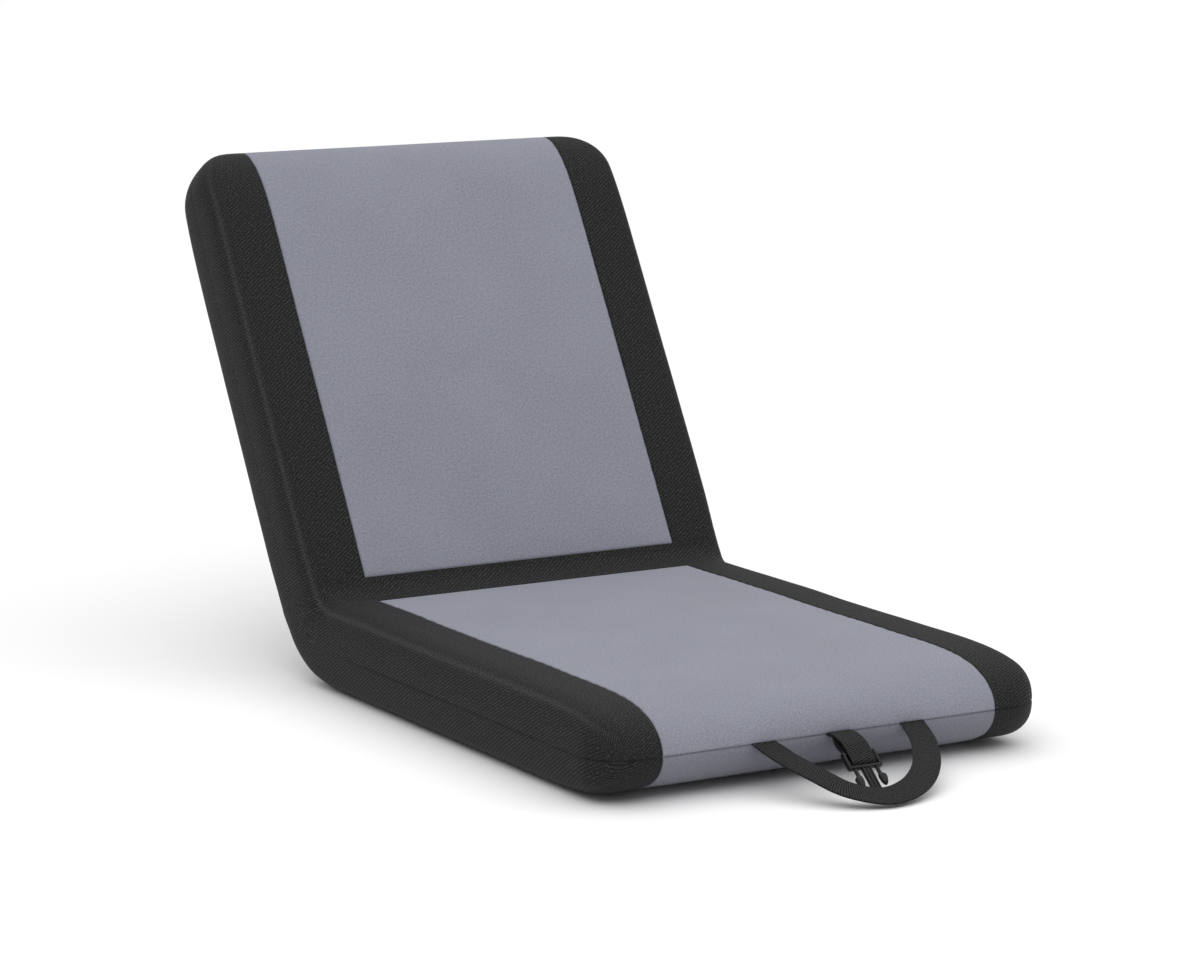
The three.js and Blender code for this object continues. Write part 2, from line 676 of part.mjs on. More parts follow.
// Side rails and the round bar for the tape
function tapeFrame(rear, thickness) {
  const half = clipWidth / 2;
  return [
    block(-half, clipBar - half, rear, clipSlot + clipBar, thickness),
    block(half - clipBar, half, rear, clipSlot + clipBar, thickness),
    rod(clipBar / 2, clipWidth - clipBar, 0, 0, 12),
  ];
}

// One prong: a springy stem and a rounded bulb that stands out past it
function prong(sign) {
  const stemMiddle = sign * (clipWidth / 2 - clipBar - prongWidth / 2);
  const bulbMiddle = stemMiddle + (sign * prongWidth) / 2;
  const bulbAway = prongEnd - bulbLength / 2;
  const bulb = Array.from({ length: pinSides }, (_, i) => {
    const angle = (i / pinSides) * 2 * Math.PI;
    return [bulbMiddle + (bulbWidth / 2) * Math.cos(angle), bulbAway + (bulbLength / 2) * Math.sin(angle)];
  });
  const [low, high] = [stemMiddle - prongWidth / 2, stemMiddle + prongWidth / 2];
  return [
    block(low, high, clipSlot, bulbAway, clipThickness - tapeThickness),
    moulding(bulb, clipThickness),
  ];
}

// The plug: tape frame, two prongs and a ribbed guide between them
function clipPlug() {
  const half = clipWidth / 2;
  const rear = -(clipSlot + 2 * clipBar);
  const guideHalf = guideRibPitch + guideRib / 2;
  const ribs = [-guideRibPitch, 0, guideRibPitch].map((x) => (
    block(x - guideRib / 2, x + guideRib / 2, clipSlot, guideEnd, clipThickness - guideRib / 2)));
  return join([
    block(-half, half, clipSlot, clipSlot + clipBar, clipThickness),
    block(-half, half, rear, rear + clipBar, clipThickness - tapeThickness),
    ...tapeFrame(rear, clipThickness), ...prong(-1), ...prong(1),
    block(-guideHalf, guideHalf, clipSlot, guideEnd - guideRib, guideRib), ...ribs,
  ]);
}

// The socket: a shell open at its mouth, with a window each side that the bulbs spring into
function clipSocket() {
  const half = clipWidth / 2;
  const mouth = clipSlot + socketLength;
  const hollow = socketThickness - 2 * socketWall;
  const shell = block(-half, half, clipSlot, mouth, socketThickness);
  const [floor, beyond] = [clipSlot + socketWall, mouth + socketWall];
  const cavity = block(socketWall - half, half - socketWall, floor, beyond, hollow);
  const [from, to] = socketWindowShares.map((share) => clipSlot + share * socketLength);
  const windows = block(-clipWidth, clipWidth, from, to, hollow);
  return carve(join([shell, ...tapeFrame(-clipBar / 2, clipThickness)]), [cavity, windows]);
}

const shown = new THREE.Group();
shown.name = 'folding_floor_chair';
const hinge = new THREE.Group();
hinge.position.set(0, hingeY, hingeZ);
shown.add(hinge);
const seatGroup = new THREE.Group();
const backGroup = new THREE.Group();
backGroup.rotation.x = backTurn;
hinge.add(seatGroup, backGroup);

function add(group, name, geometry, material, [x, y, z] = [0, 0, 0], turn = 0) {
  const mesh = new THREE.Mesh(geometry, material);
  mesh.name = name;
  mesh.position.set(x, y, z);
  mesh.rotation.x = turn;
  group.add(mesh);
}

// Cushion pieces of one slab; the words name its two faces
function addCushion(group, slab, faceWords) {
  for (const [face, [panelWord, sideWord]] of faceWords) {
    add(group, `${slab.name}_foam_${sideWord}`, slabFoam(slab, face), materials.foam);
    add(group, `${slab.name}_${panelWord}_panel`, slabCover(slab, face, 'panel'), materials.greyCloth);
    for (const hand of ['left', 'right']) {
      add(group, `${slab.name}_side_${sideWord}_${hand}`, slabCover(slab, face, hand), materials.blackCloth);
    }
  }
}

function addFrame(group, slab) {
  add(group, `${slab.name}_tube_frame`, frameTube(slab), materials.paintedTube);
  add(group, `${slab.name}_cross_tube`, crossTube(slab), materials.paintedTube);
}

addCushion(seatGroup, seat, [[true, ['top', 'upper']], [false, ['bottom', 'lower']]]);
addCushion(backGroup, back, [[true, ['front', 'front']], [false, ['rear', 'rear']]]);
addFrame(seatGroup, seat);
addFrame(backGroup, back);
add(seatGroup, 'crease_cover', bandCover(true), materials.blackCloth);
add(seatGroup, 'hip_cover', bandCover(false), materials.blackCloth);
add(seatGroup, 'hip_foam', hipFoam(), materials.foam);

// Both hinges, seen from the front: the left one at -X
const handNames = ['left', 'right'];
hingeSides.forEach((x, i) => {
  const hand = handNames[i];
  const pinAt = (run, depth) => [x, -run, -depth];
  const pinOf = (radius) => headedPin(radius, 2 * hingeHalfWidth, pinHeadRadius, pinHeadHeight);
  const earShift = Math.sign(x) * (earOffset + earThickness / 2);
  const pawlPivot = pinAt(pawlPivotRun, pawlPivotDepth);
  const springSeat = pinAt(springPinRun, springPinDepth);
  add(seatGroup, `hinge_ear_${hand}_outer`, hingeEar(), materials.steel, [x + earShift, 0, 0]);
  add(seatGroup, `hinge_ear_${hand}_inner`, hingeEar(), materials.steel, [x - earShift, 0, 0]);
  add(seatGroup, `hinge_pin_${hand}`, pinOf(pinRadius), materials.steel, pinAt(0, 0));
  add(seatGroup, `pawl_pin_${hand}`, pinOf(pinRadius), materials.steel, pawlPivot);
  add(seatGroup, `spring_pin_${hand}`, pinOf(springPinRadius), materials.steel, springSeat);
  add(seatGroup, `pawl_spring_${hand}`, pawlSpring(), materials.steel, [x, 0, 0]);
  add(seatGroup, `pawl_${hand}`, pawl(), materials.steel, pawlPivot, -rad(pawlLift));
  add(backGroup, `hinge_arm_${hand}`, hingeArm(), materials.steel, [x, 0, 0]);
  rivetRuns.forEach((run, index) => {
    const along = ['near', 'far'][index];
    const backRivet = headedPin(rivetRadius, 2 * tubeRadius, pinHeadRadius, pinHeadHeight);
    add(seatGroup, `seat_rivet_${hand}_${along}`, pinOf(rivetRadius), materials.steel, pinAt(run, midDepth));
    add(backGroup, `back_rivet_${hand}_${along}`, backRivet, materials.steel, [x, run, -midDepth]);
  });
});

// Straps at the seat's front seam, then the socket and its tape at the back's top seam
const seamPlace = (slab) => slab.sign * (slab.length + seamEnd / 2 + seamGap);
const frontSeam = [strapOffset, seamPlace(seat), -midDepth];
add(seatGroup, 'carry_handle', handle(), materials.webbing, frontSeam, rad(handleDroop));

const plugTurn = Math.PI + rad(clipDroop);
const plugBar = [-clipBarRun, -clipBarDrop];
const clipTape = tapeLoop([[0, 0], [-tapeNeck, 0]], plugBar, plugTurn, [tapeSlackUpper, tapeSlackLower]);
add(seatGroup, 'clip_strap', clipTape, materials.webbing, frontSeam);
const plugPlace = [strapOffset, frontSeam[1] + plugBar[0], frontSeam[2] + plugBar[1]];
add(seatGroup, 'clip_plug', clipPlug(), materials.clip, plugPlace, rad(clipDroop));

const topSeam = new THREE.Vector3(strapOffset, seamPlace(back), -midDepth)
  .applyAxisAngle(new THREE.Vector3(1, 0, 0), backTurn);
const socketNeck = socketDrapeShares.map(([rearward, up]) => [rearward * socketDrape, up * socketDrape]);
const socketBar = [socketDrape, -socketBarDrop];
const socketTape = tapeLoop(socketNeck, socketBar, -Math.PI / 2, [0, 0]);
add(hinge, 'socket_tape', socketTape, materials.webbing, topSeam.toArray());
add(hinge, 'clip_socket', clipSocket(), materials.clip,
  [topSeam.x, topSeam.y + socketBar[0], topSeam.z + socketBar[1]], Math.PI / 2);

export default shown;
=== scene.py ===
import json
import math
import bpy
import numpy as np
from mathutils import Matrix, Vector


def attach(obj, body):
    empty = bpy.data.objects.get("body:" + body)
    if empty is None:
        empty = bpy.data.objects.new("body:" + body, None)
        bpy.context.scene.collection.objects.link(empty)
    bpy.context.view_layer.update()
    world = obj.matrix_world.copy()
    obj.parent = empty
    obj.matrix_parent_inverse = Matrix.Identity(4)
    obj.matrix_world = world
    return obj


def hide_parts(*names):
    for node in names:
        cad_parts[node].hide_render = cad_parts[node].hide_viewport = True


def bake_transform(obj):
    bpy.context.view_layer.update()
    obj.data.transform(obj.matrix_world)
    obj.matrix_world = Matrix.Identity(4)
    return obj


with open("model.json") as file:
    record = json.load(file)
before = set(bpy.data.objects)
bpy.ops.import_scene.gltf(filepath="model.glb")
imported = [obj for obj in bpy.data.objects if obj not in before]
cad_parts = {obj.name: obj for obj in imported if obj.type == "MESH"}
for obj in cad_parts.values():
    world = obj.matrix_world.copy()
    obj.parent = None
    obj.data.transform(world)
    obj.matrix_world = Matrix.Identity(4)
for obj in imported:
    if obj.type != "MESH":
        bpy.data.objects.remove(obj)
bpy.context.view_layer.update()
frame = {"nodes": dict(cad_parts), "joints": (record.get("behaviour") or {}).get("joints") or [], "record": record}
nodes = frame["nodes"]
joints = {joint["name"]: joint for joint in frame["joints"]}
print("frame:", len(nodes), "nodes")


# Sizes that the frame gives. A place on a slab is x, its run from the hinge line and its depth
# below that line; the seat runs forward and the back runs up at its lean.
def nodePoints(name):
    mesh = nodes[name].data
    points = np.empty(len(mesh.vertices) * 3)
    mesh.vertices.foreach_get("co", points)
    return points.reshape(-1, 3)


seamGap = 0.0003  # left between neighbouring pieces of the frame
hinge = np.array(joints["back_fold"]["pos_m"])
flatAngle, shutAngle = (math.radians(angle) for angle in joints["back_fold"]["range_deg"])
backTurn = -flatAngle  # the back stands this far up from lying flat
closedAngle = math.pi + flatAngle - shutAngle
halfOpening = (math.pi - backTurn) / 2
chairHalf = nodePoints("seat_side_lower_right")[:, 0].max()
padThickness = nodePoints("seat_side_upper_right")[:, 2].max()
panelHalf = nodePoints("seat_top_panel")[:, 0].max() + seamGap / 2
creaseReach = hinge[1] - nodePoints("seat_top_panel")[:, 1].max() - seamGap / 2
hingeDepth = padThickness - hinge[2]
midDepth = padThickness / 2 - hingeDepth  # the seam round the middle of the edge lies here
rearDepth = padThickness - hingeDepth


def slabSizes(name, node, along, down, more):  # its length is how far the node reaches from the hinge line
    along = np.array(along)
    length = ((nodePoints(node) - hinge) @ along).max()
    return {"name": name, "along": along, "down": np.array(down), "length": length - more["drawnIn"], **more}


# The stitching draws in the end; the black band laps over the start of the panels
seat = slabSizes("seat", "seat_side_lower_right", (0, -1, 0), (0, 0, -1), {
    "side": -1, "crown": 0.003, "groove": 1.0, "seed": 11, "drawnIn": 0.0, "sideSwell": 0.0,
    "bandOverlap": 0.0, "cornerRadius": 0.041, "sideRounding": 0.031, "sideExponent": 2.65})
back = slabSizes(
    "back", "back_side_rear_right", (0, math.cos(backTurn), math.sin(backTurn)),
    (0, math.sin(backTurn), -math.cos(backTurn)), {
        "side": 1, "crown": 0.002, "groove": 0.35, "seed": 23, "drawnIn": 0.0018, "sideSwell": 0.0015,
        "bandOverlap": 0.002, "cornerRadius": 0.049, "sideRounding": 0.0235, "sideExponent": 3.3})


# A socket of a material's nodes. Arithmetic on it adds Math nodes, and node() adds any other one.
class Wire:
    def __init__(self, tree, socket=None):
        self.tree = tree
        self.socket = socket

    def node(self, kind, settings, sockets, take=0):
        made = self.tree.nodes.new(kind)
        for name, value in settings.items():
            setattr(made, name, value)
        for name, value in sockets.items():
            if isinstance(value, Wire):
                self.tree.links.new(value.socket, made.inputs[name])
            else:
                made.inputs[name].default_value = value
        return Wire(self.tree, made.outputs[take] if made.outputs else None)

    def maths(self, operation, *values):
        return self.node("ShaderNodeMath", {"operation": operation}, dict(enumerate(values)))

    def __add__(self, other):
        return self.maths("ADD", self, other)

    def __radd__(self, other):
        return self.maths("ADD", other, self)

    def __sub__(self, other):
        return self.maths("SUBTRACT", self, other)

    def __rsub__(self, other):
        return self.maths("SUBTRACT", other, self)

    def __mul__(self, other):
        return self.maths("MULTIPLY", self, other)

    def __rmul__(self, other):
        return self.maths("MULTIPLY", other, self)

    def sine(self):
        return self.maths("SINE", self)

    def held(self, low, high):  # kept between two numbers
        return self.maths("MINIMUM", self.maths("MAXIMUM", self, low), high)


def coordinates(start, kind):
    return start.node("ShaderNodeTexCoord", {}, {}, kind)


def acrossAndAlong(place):  # the first two numbers of a place
    return [place.node("ShaderNodeSeparateXYZ", {}, {"Vector": place}, axis) for axis in range(2)]


def grain(place, scale, detail=2.0):
    return place.node("ShaderNodeTexNoise", {}, {"Vector": place, "Scale": scale, "Detail": detail}, "Fac")


def blendColour(share, first, second):  # a Mix node takes colours in sockets 6 and 7 and gives one in 2
    return share.node("ShaderNodeMix", {"data_type": "RGBA"}, {0: share, 6: first, 7: second}, 2)


def pointTone(start, name):  # a point attribute of the padding: a share, or metres across the ribs
    return start.node("ShaderNodeAttribute", {"attribute_name": name}, {}, "Fac")


def grey(value, shift=(0, 0, 0)):  # the shift is added to red, green and blue
    return tuple(value + more for more in shift) + (1,)


def finished(start, colour, roughness, height, relief, constants):  # relief is a strength and a distance
    bump = start.node("ShaderNodeBump", {}, {"Height": height, "Strength": relief[0], "Distance": relief[1]})
    sockets = {"Base Color": colour, "Roughness": roughness, "Normal": bump, **constants}
    surface = start.node("ShaderNodeBsdfPrincipled", {}, sockets)
    start.node("ShaderNodeOutputMaterial", {}, {"Surface": surface})


def newMaterial(name):
    material = bpy.data.materials.new(name)
    material.use_nodes = True
    material.node_tree.nodes.clear()
    return material, Wire(material.node_tree)


# Plain weave of grey polyester: crossed threads, fine flecks and faint large blotches, with painted shade
# darkening the lower half of each pad
greyWeaveLook = {
    "colour": (0.222, 0.229, 0.276), "dim": 0.78, "bright": 1.22,
    "threadPitch": 0.0016, "threadShare": 0.06, "threadRise": 0.5,
    "fleckScale": 460, "fleckShare": 2.0, "blotchScale": 9, "blotchShare": 0.48, "detail": 3.0,
    # painted shade: the tone the lower half of each pad darkens towards, and how far it goes
    "underTone": grey(0.02, (0, 0, 0.003)), "underDark": 0.26,
    "sewnTone": grey(0.035, (0, 0, 0.006)), "seamDark": 0.85,
    "roughness": 0.86, "fleckRoughness": 0.1, "relief": (0.45, 0.0004),
    "settings": {"Sheen Weight": 0.12, "Sheen Roughness": 0.5, "Specular IOR Level": 0.3},
}


def greyWeave(look=greyWeaveLook):
    material, start = newMaterial("greyWeave")
    place = coordinates(start, "UV")
    u, v = acrossAndAlong(place)
    turn = 2 * math.pi / look["threadPitch"]
    threads = (u * turn).sine() * (v * turn).sine()
    fleck = grain(place, look["fleckScale"], look["detail"]) - 0.5
    blotch = grain(place, look["blotchScale"], look["detail"]) - 0.5
    specks = fleck * look["fleckShare"] + blotch * look["blotchShare"]
    share = (0.5 + specks + threads * look["threadShare"]).held(0, 1)
    dim, bright = ([*(look[tone] * part for part in look["colour"]), 1] for tone in ("dim", "bright"))
    colour = blendColour(share, dim, bright)
    # painted shade over the lower half of each pad
    shaded = blendColour(pointTone(start, "under") * look["underDark"], colour, look["underTone"])
    sewn = blendColour(pointTone(start, "seam") * look["seamDark"], shaded, look["sewnTone"])
    roughness = look["roughness"] + fleck * look["fleckRoughness"]
    height = threads * look["threadRise"] + fleck
    finished(start, sewn, roughness, height, look["relief"], look["settings"])
    return material


# Black twill: ribs on the diagonal, broken up into short floats of thread, with a painted highlight along the edge
# rounding.
# The padding says how far across the ribs a point is, on its face and on its side.
blackTwillLook = {
    "dark": grey(0.0015), "light": grey(0.045, (0, 0.0003, 0.0024)),
    "ribPitch": 0.0030, "waver": 0.0012, "waverScale": 230,
    "ground": 0.22, "ribShare": 0.1, "floatShare": 0.55,  # how light it is between ribs, and what these add
    "breakScale": 360, "breakGain": 2.6, "breakStart": 0.8,
    "fleckScale": 620, "speckMiddle": 0.85, "speckGain": 4.2,
    # painted highlight: a lighter tone along the edge rounding, speckled by the fleck
    "rubbed": grey(0.085), "rubShare": 0.5, "fuzzGain": 2.4, "fuzzStart": 0.7,
    "sewnTone": grey(0.003), "seamDark": 0.7,
    "roughness": 0.78, "ribGloss": 0.12, "ribRise": 0.15, "floatRise": 0.4, "fleckRise": 0.5,
    "relief": (0.32, 0.0005),
    "settings": {"Sheen Weight": 0.03, "Sheen Roughness": 0.45, "Specular IOR Level": 0.12},
}


def blackTwill(look=blackTwillLook):
    material, start = newMaterial("blackTwill")
    place = coordinates(start, "UV")
    waver = (grain(place, look["waverScale"], 1.0) - 0.5) * look["waver"]
    turn = 2 * math.pi / look["ribPitch"]
    onFace, onSide = (
        ((pointTone(start, name) + waver) * turn).sine() * 0.5 + 0.5 for name in ("ribFace", "ribSide"))
    rib = onFace + (onSide - onFace) * pointTone(start, "onSide")
    broken = (grain(place, look["breakScale"], 1.0) * look["breakGain"] - look["breakStart"]).held(0, 1)
    fleck = grain(place, look["fleckScale"])
    speck = ((fleck - 0.5) * look["speckGain"] + look["speckMiddle"]).held(0, 2)
    lightness = look["ground"] + rib * (look["ribShare"] + look["floatShare"] * broken)
    colour = blendColour((lightness * speck).held(0, 1), look["dark"], look["light"])
    # painted highlight along the edge rounding, speckled by the fleck
    highlightSpeck = (fleck * look["fuzzGain"] - look["fuzzStart"]).held(0, 1)
    highlighted = blendColour(pointTone(start, "rub") * highlightSpeck * look["rubShare"], colour, look["rubbed"])
    sewn = blendColour(pointTone(start, "seam") * look["seamDark"], highlighted, look["sewnTone"])
    roughness = look["roughness"] - rib * look["ribGloss"]
    height = rib * (look["ribRise"] + look["floatRise"] * broken) + fleck * look["fleckRise"]
    finished(start, sewn, roughness, height, look["relief"], look["settings"])
    return material


# Black webbing: ribs straight across it, crossed by fine warp threads
webbingLook = {
    "dark": grey(0.001), "light": grey(0.044, (0, 0, 0.001)),
    "ribPitch": 0.0022, "slant": 0.3, "ribShare": 0.45,
    "warpPitch": 0.0017, "warpPush": 1.4, "warpShare": 0.55, "warpRise": 0.5,
    "fleckScale": 500, "fleckShare": 1.3,
    "roughness": 0.74, "ribGloss": 0.1, "relief": (0.6, 0.0004),
    "settings": {"Sheen Weight": 0.02, "Sheen Roughness": 0.4, "Specular IOR Level": 0.11},
}


def webbing(look=webbingLook):
    material, start = newMaterial("webbing")
    place = coordinates(start, "UV")
    u, v = acrossAndAlong(place)
    warp = (u * (2 * math.pi / look["warpPitch"])).sine() * 0.5 + 0.5
    ribTurn = (v + u * look["slant"]) * (2 * math.pi / look["ribPitch"])
    rib = (ribTurn + warp * look["warpPush"]).sine() * 0.5 + 0.5
    fleck = grain(place, look["fleckScale"]) - 0.5
    share = (rib * (look["ribShare"] + look["warpShare"] * warp) + fleck * look["fleckShare"]).held(0, 1)
    colour = blendColour(share, look["dark"], look["light"])
    roughness = look["roughness"] - rib * look["ribGloss"]
    finished(start, colour, roughness, rib + warp * look["warpRise"], look["relief"], look["settings"])
    return material


# Finishes on Object coordinates: two tones of grain, a roughness that the grain shifts, and relief
grainedLooks = {
    "clipPlastic": {
        "dark": grey(0.004), "light": grey(0.008, (0, 0.0003, 0.0006)), "scale": 900, "stretch": (1, 1, 1),
        "roughness": 0.32, "shift": 0.14, "relief": (0.12, 0.0002), "settings": {"Specular IOR Level": 0.22}},
    "brushedSteel": {
        "dark": grey(0.34), "light": grey(0.50, (0, 0.004, 0.01)), "scale": 700, "stretch": (1, 14, 14),
        "roughness": 0.36, "shift": 0.22, "relief": (0.15, 0.0001), "settings": {"Metallic": 1.0}},
    "paintedTube": {
        "dark": grey(0.014), "light": grey(0.026, (0, 0.001, 0.003)), "scale": 450, "stretch": (1, 1, 1),
        "roughness": 0.38, "shift": 0.14, "relief": (0.2, 0.0002),
        "settings": {"Coat Weight": 0.3, "Coat Roughness": 0.25}},
    "foam": {
        "dark": (0.68, 0.61, 0.42, 1), "light": (0.86, 0.80, 0.62, 1), "scale": 520, "stretch": (1, 1, 1),
        "roughness": 0.92, "shift": 0.1, "relief": (0.8, 0.0008), "settings": {"Specular IOR Level": 0.2}},
    "paleFloor": {
        "dark": grey(0.891), "light": grey(0.9), "scale": 60, "stretch": (1, 1, 1),
        "roughness": 0.8, "shift": 0.05, "relief": (0.02, 0.0005), "settings": {}},
}
grainMix = {"fineDetail": 4.0, "fine": 0.7, "broad": 0.6, "start": 0.15, "broader": 40, "smoothest": 0.05}


def grained(name):
    look = grainedLooks[name]
    material, start = newMaterial(name)
    place = coordinates(start, "Object")
    pulled = place.node("ShaderNodeMapping", {}, {"Vector": place, "Scale": look["stretch"]})
    fine = grain(pulled, look["scale"], grainMix["fineDetail"])
    broad = grain(place, look["scale"] / grainMix["broader"])
    share = (fine * grainMix["fine"] + broad * grainMix["broad"] - grainMix["start"]).held(0, 1)
    colour = blendColour(share, look["dark"], look["light"])
    shifted = look["roughness"] + (fine - 0.5) * look["shift"] + (broad - 0.5) * look["shift"]
    finished(start, colour, shifted.held(grainMix["smoothest"], 1), fine, look["relief"], look["settings"])
    return material


finishes = {
    "grey_cloth": greyWeave(), "black_cloth": blackTwill(), "webbing": webbing(),
    "clip_plastic": grained("clipPlastic"), "steel": grained("brushedSteel"),
    "painted_tube": grained("paintedTube"), "foam": grained("foam"),
}
for subpart in frame["record"]["subparts"]:
    slots = nodes[subpart["node"]].data.materials
    slots.clear()
    slots.append(finishes[subpart["material_slot"]])
print("materials:", len(finishes))


# Mesh helpers. A shape whose volume comes out negative has its faces turned.
sharpAngle = math.radians(55)  # edges that turn further than this stay sharp


def quads(grid, flip=False):  # a grid of point numbers becomes faces of four
    a, b, c, d = grid[:-1, :-1], grid[:-1, 1:], grid[1:, 1:], grid[1:, :-1]
    corners = (a, d, c, b) if flip else (a, b, c, d)
    return np.stack(corners, -1).reshape(-1, 4)


def volumeOf(points, faces):  # six times the volume, from the triple products of each face's two triangles
    a, b, c, d = (points[faces[:, corner]] - points.mean(0) for corner in range(4))
    return (np.cross(a, b) * c).sum() + (np.cross(a, c) * d).sum()


# A piece of the visual: its mesh with UV, finishes and, where it has them, point tones
def addPiece(name, points, faces, uv, finishNames, faceFinish=None, tones=None):
    mesh = bpy.data.meshes.new(name)
    mesh.from_pydata(points, [], faces)
    mesh.uv_layers.new(name="UVMap").data.foreach_set("uv", np.asarray(uv, np.float32).ravel())
    for finishName in finishNames:
        mesh.materials.append(finishes[finishName])
    if faceFinish is not None:
        mesh.polygons.foreach_set("material_index", np.asarray(faceFinish, np.int32))
    for tone, values in (tones or {}).items():
        mesh.attributes.new(tone, "FLOAT", "POINT").data.foreach_set("value", np.asarray(values, np.float32))
    mesh.polygons.foreach_set("use_smooth", np.ones(len(mesh.polygons), bool))
    mesh.set_sharp_from_angle(angle=sharpAngle)
    mesh.update()
    piece = bpy.data.objects.new(name, mesh)
    bpy.context.scene.collection.objects.link(piece)
    return piece


# Two matching grids meet along their sides, and along the last row too where the tip is closed.
# Each row that is left open gets a wall. UV belongs to a half, so it may jump at the seam.
# The panel's span is its first column, the column after its last, and its first row.
def joinHalves(name, upper, lower, closeTip, finishNames, panelSpan=None):
    rows, cols = upper["points"].shape[:2]
    top = np.arange(rows * cols).reshape(rows, cols)
    inner = (slice(None, -1) if closeTip else slice(None), slice(1, -1))
    bottom = top.copy()
    bottom[inner] = rows * cols + np.arange(bottom[inner].size).reshape(bottom[inner].shape)
    points = np.concatenate([upper["points"].reshape(-1, 3), lower["points"][inner].reshape(-1, 3)])
    tones = {tone: np.concatenate([values.ravel(), lower["tones"][tone][inner].ravel()])
             for tone, values in upper["tones"].items()}
    # painted shade mask: 1 on the lower half of a pad, where the grey cloth is darkened
    tones["under"] = np.arange(len(points)) >= rows * cols
    walls = [quads(np.stack([top[0], bottom[0]]), True)]
    if not closeTip:
        walls.append(quads(np.stack([top[-1], bottom[-1]])))
    groups = [quads(top), quads(bottom, True), np.concatenate(walls)]
    if volumeOf(points, np.concatenate(groups)) < 0:
        groups = [group[:, ::-1] for group in groups]
    upperUv = upper["uv"].reshape(-1, 2)
    lowerUv = np.zeros((len(points), 2))
    lowerUv[bottom.ravel()] = lower["uv"].reshape(-1, 2)
    wallFaces = [list(dict.fromkeys(face)) for face in groups[2].tolist()]
    uv = np.concatenate([
        upperUv[groups[0]].reshape(-1, 2), lowerUv[groups[1]].reshape(-1, 2),
        lowerUv[np.concatenate(wallFaces)]])
    faces = groups[0].tolist() + groups[1].tolist() + wallFaces
    faceFinish = None
    if panelSpan is not None:
        firstColumn, endColumn, firstRow = panelSpan
        row, column = (np.tile(places.ravel(), 2) for places in np.indices((rows - 1, cols - 1)))
        inPanel = (column >= firstColumn) & (column < endColumn) & (row >= firstRow)
        faceFinish = np.ones(len(faces), int)
        faceFinish[:len(inPanel)] = ~inPanel
    return addPiece(name, points, faces, uv, finishNames, faceFinish, tones)


# The padding
pad = {
    "noseLength": 0.140, "noseExponent": 3.85,
    "creaseRoll": 0.0082,  # hinge line to the surface of the crease
    "plump": 0.95,  # how far the foam fills the ramp beside the crease
    "grooveDepth": 0.0007, "grooveWidth": 0.0010,  # the seam round the middle of the edge
    # painted highlight: where the lighter line sits across the edge rounding, and how wide it is
    "rubPlace": 0.72, "rubWidth": 0.0016,  # the light line, as a share of the way into the rounding
    "hipDraw": 0.006,  # the cover pulls in across the hip
    "stitchDepth": 0.0008, "stitchWidth": 0.0013,  # the seams round the panels
    "dipDepth": 0.0007, "dipWidth": 0.010,
    "panelLine": 0.0008, "middleLine": 0.0007,  # how wide the seams show dark
    "puckerHeight": 0.00026, "puckerPitch": 0.015, "puckerReach": 0.012,
    "puckerDrift": ((2.2, 0.034), (1.3, 0.011)),  # how far two slow sines shift the puckers, and their run
    "waveHeight": 0.0006, "waveLengths": (0.08, 0.12, 0.18, 0.26),
    "fadeRun": 0.045, "grooveFade": 0.09,  # waves and grooves grow from nothing at the crease over these runs
    "swellRuns": (0.06, 0.16),  # the sides' swell grows over these, from the crease and from the end
    "fill": 0.9,
    "flatRows": 58, "noseRows": 44, "sideColumns": 32, "panelColumns": 41, "bandRows": 37,
    "nosePower": 2.4, "sidePower": 3.4, "sideStart": 0.05,  # how rows and columns close up at the middle seam
    "foldSteps": 81,
}
borderSteps = np.array([0, 0.0007, 0.0015, 0.003, 0.006])  # rows and columns close up at a panel's seam too


def closing(count, power, first=0.0):  # shares from first to 1 that close up towards 1
    return 1 - (1 - np.linspace(first, 1, count)) ** power


# On the solids the face ramps up from the crease so that the folded faces just press; the foam here
# fills most of that ramp, and gives way when the chair is shut
def faceHeight(run):
    ramp = np.minimum(hingeDepth, np.maximum(run, creaseReach) * math.tan(closedAngle / 2) - seamGap)
    return ramp + pad["plump"] * (hingeDepth - ramp)


def easedIn(share):  # a smooth step: three squares less two cubes
    held = np.clip(share, 0, 1)
    return held * held * (3 - 2 * held)


def halfWidth(slab, run):  # nearly straight sides, then a quarter circle in plan at each corner
    radius = slab["cornerRadius"]
    past = np.clip(run - (slab["length"] - radius), 0, radius)
    fromCrease, fromEnd = pad["swellRuns"]
    swell = easedIn((run - creaseReach) / fromCrease) * easedIn((slab["length"] - run) / fromEnd)
    return chairHalf + slab["sideSwell"] * swell - radius + np.sqrt(radius ** 2 - past ** 2)


def columnsAt(widths):  # x of every column, a row for each width
    bandShares = np.concatenate([
        borderSteps[1:] / (chairHalf - panelHalf),
        closing(pad["sideColumns"], pad["sidePower"], pad["sideStart"])])
    side = panelHalf + bandShares * (widths[:, None] - panelHalf)
    panelEdge = panelHalf - borderSteps
    middle = np.linspace(-panelEdge[-1], panelEdge[-1], pad["panelColumns"])
    panel = np.concatenate([-panelEdge[:-1], middle, panelEdge[-2::-1]])
    panel = np.broadcast_to(panel, (len(widths), len(panel)))
    span = (side.shape[1], side.shape[1] + panel.shape[1] - 1)
    return np.hstack([-side[:, ::-1], panel, side]), span


def edgeShare(x, width, rounding, exponent):  # share of the full thickness: a superellipse down to the seam
    past = np.clip((np.abs(x) - width) / rounding + 1, 0, 1)
    return (1 - past ** exponent) ** (1 / exponent)


def fromPanelEdge(x, beyond):  # distance to the panel's outline; beyond is how far past its crease end
    across = np.abs(x) - panelHalf
    outside = np.hypot(np.maximum(across, 0), np.maximum(beyond, 0))
    return np.abs(outside + np.minimum(np.maximum(across, beyond), 0))


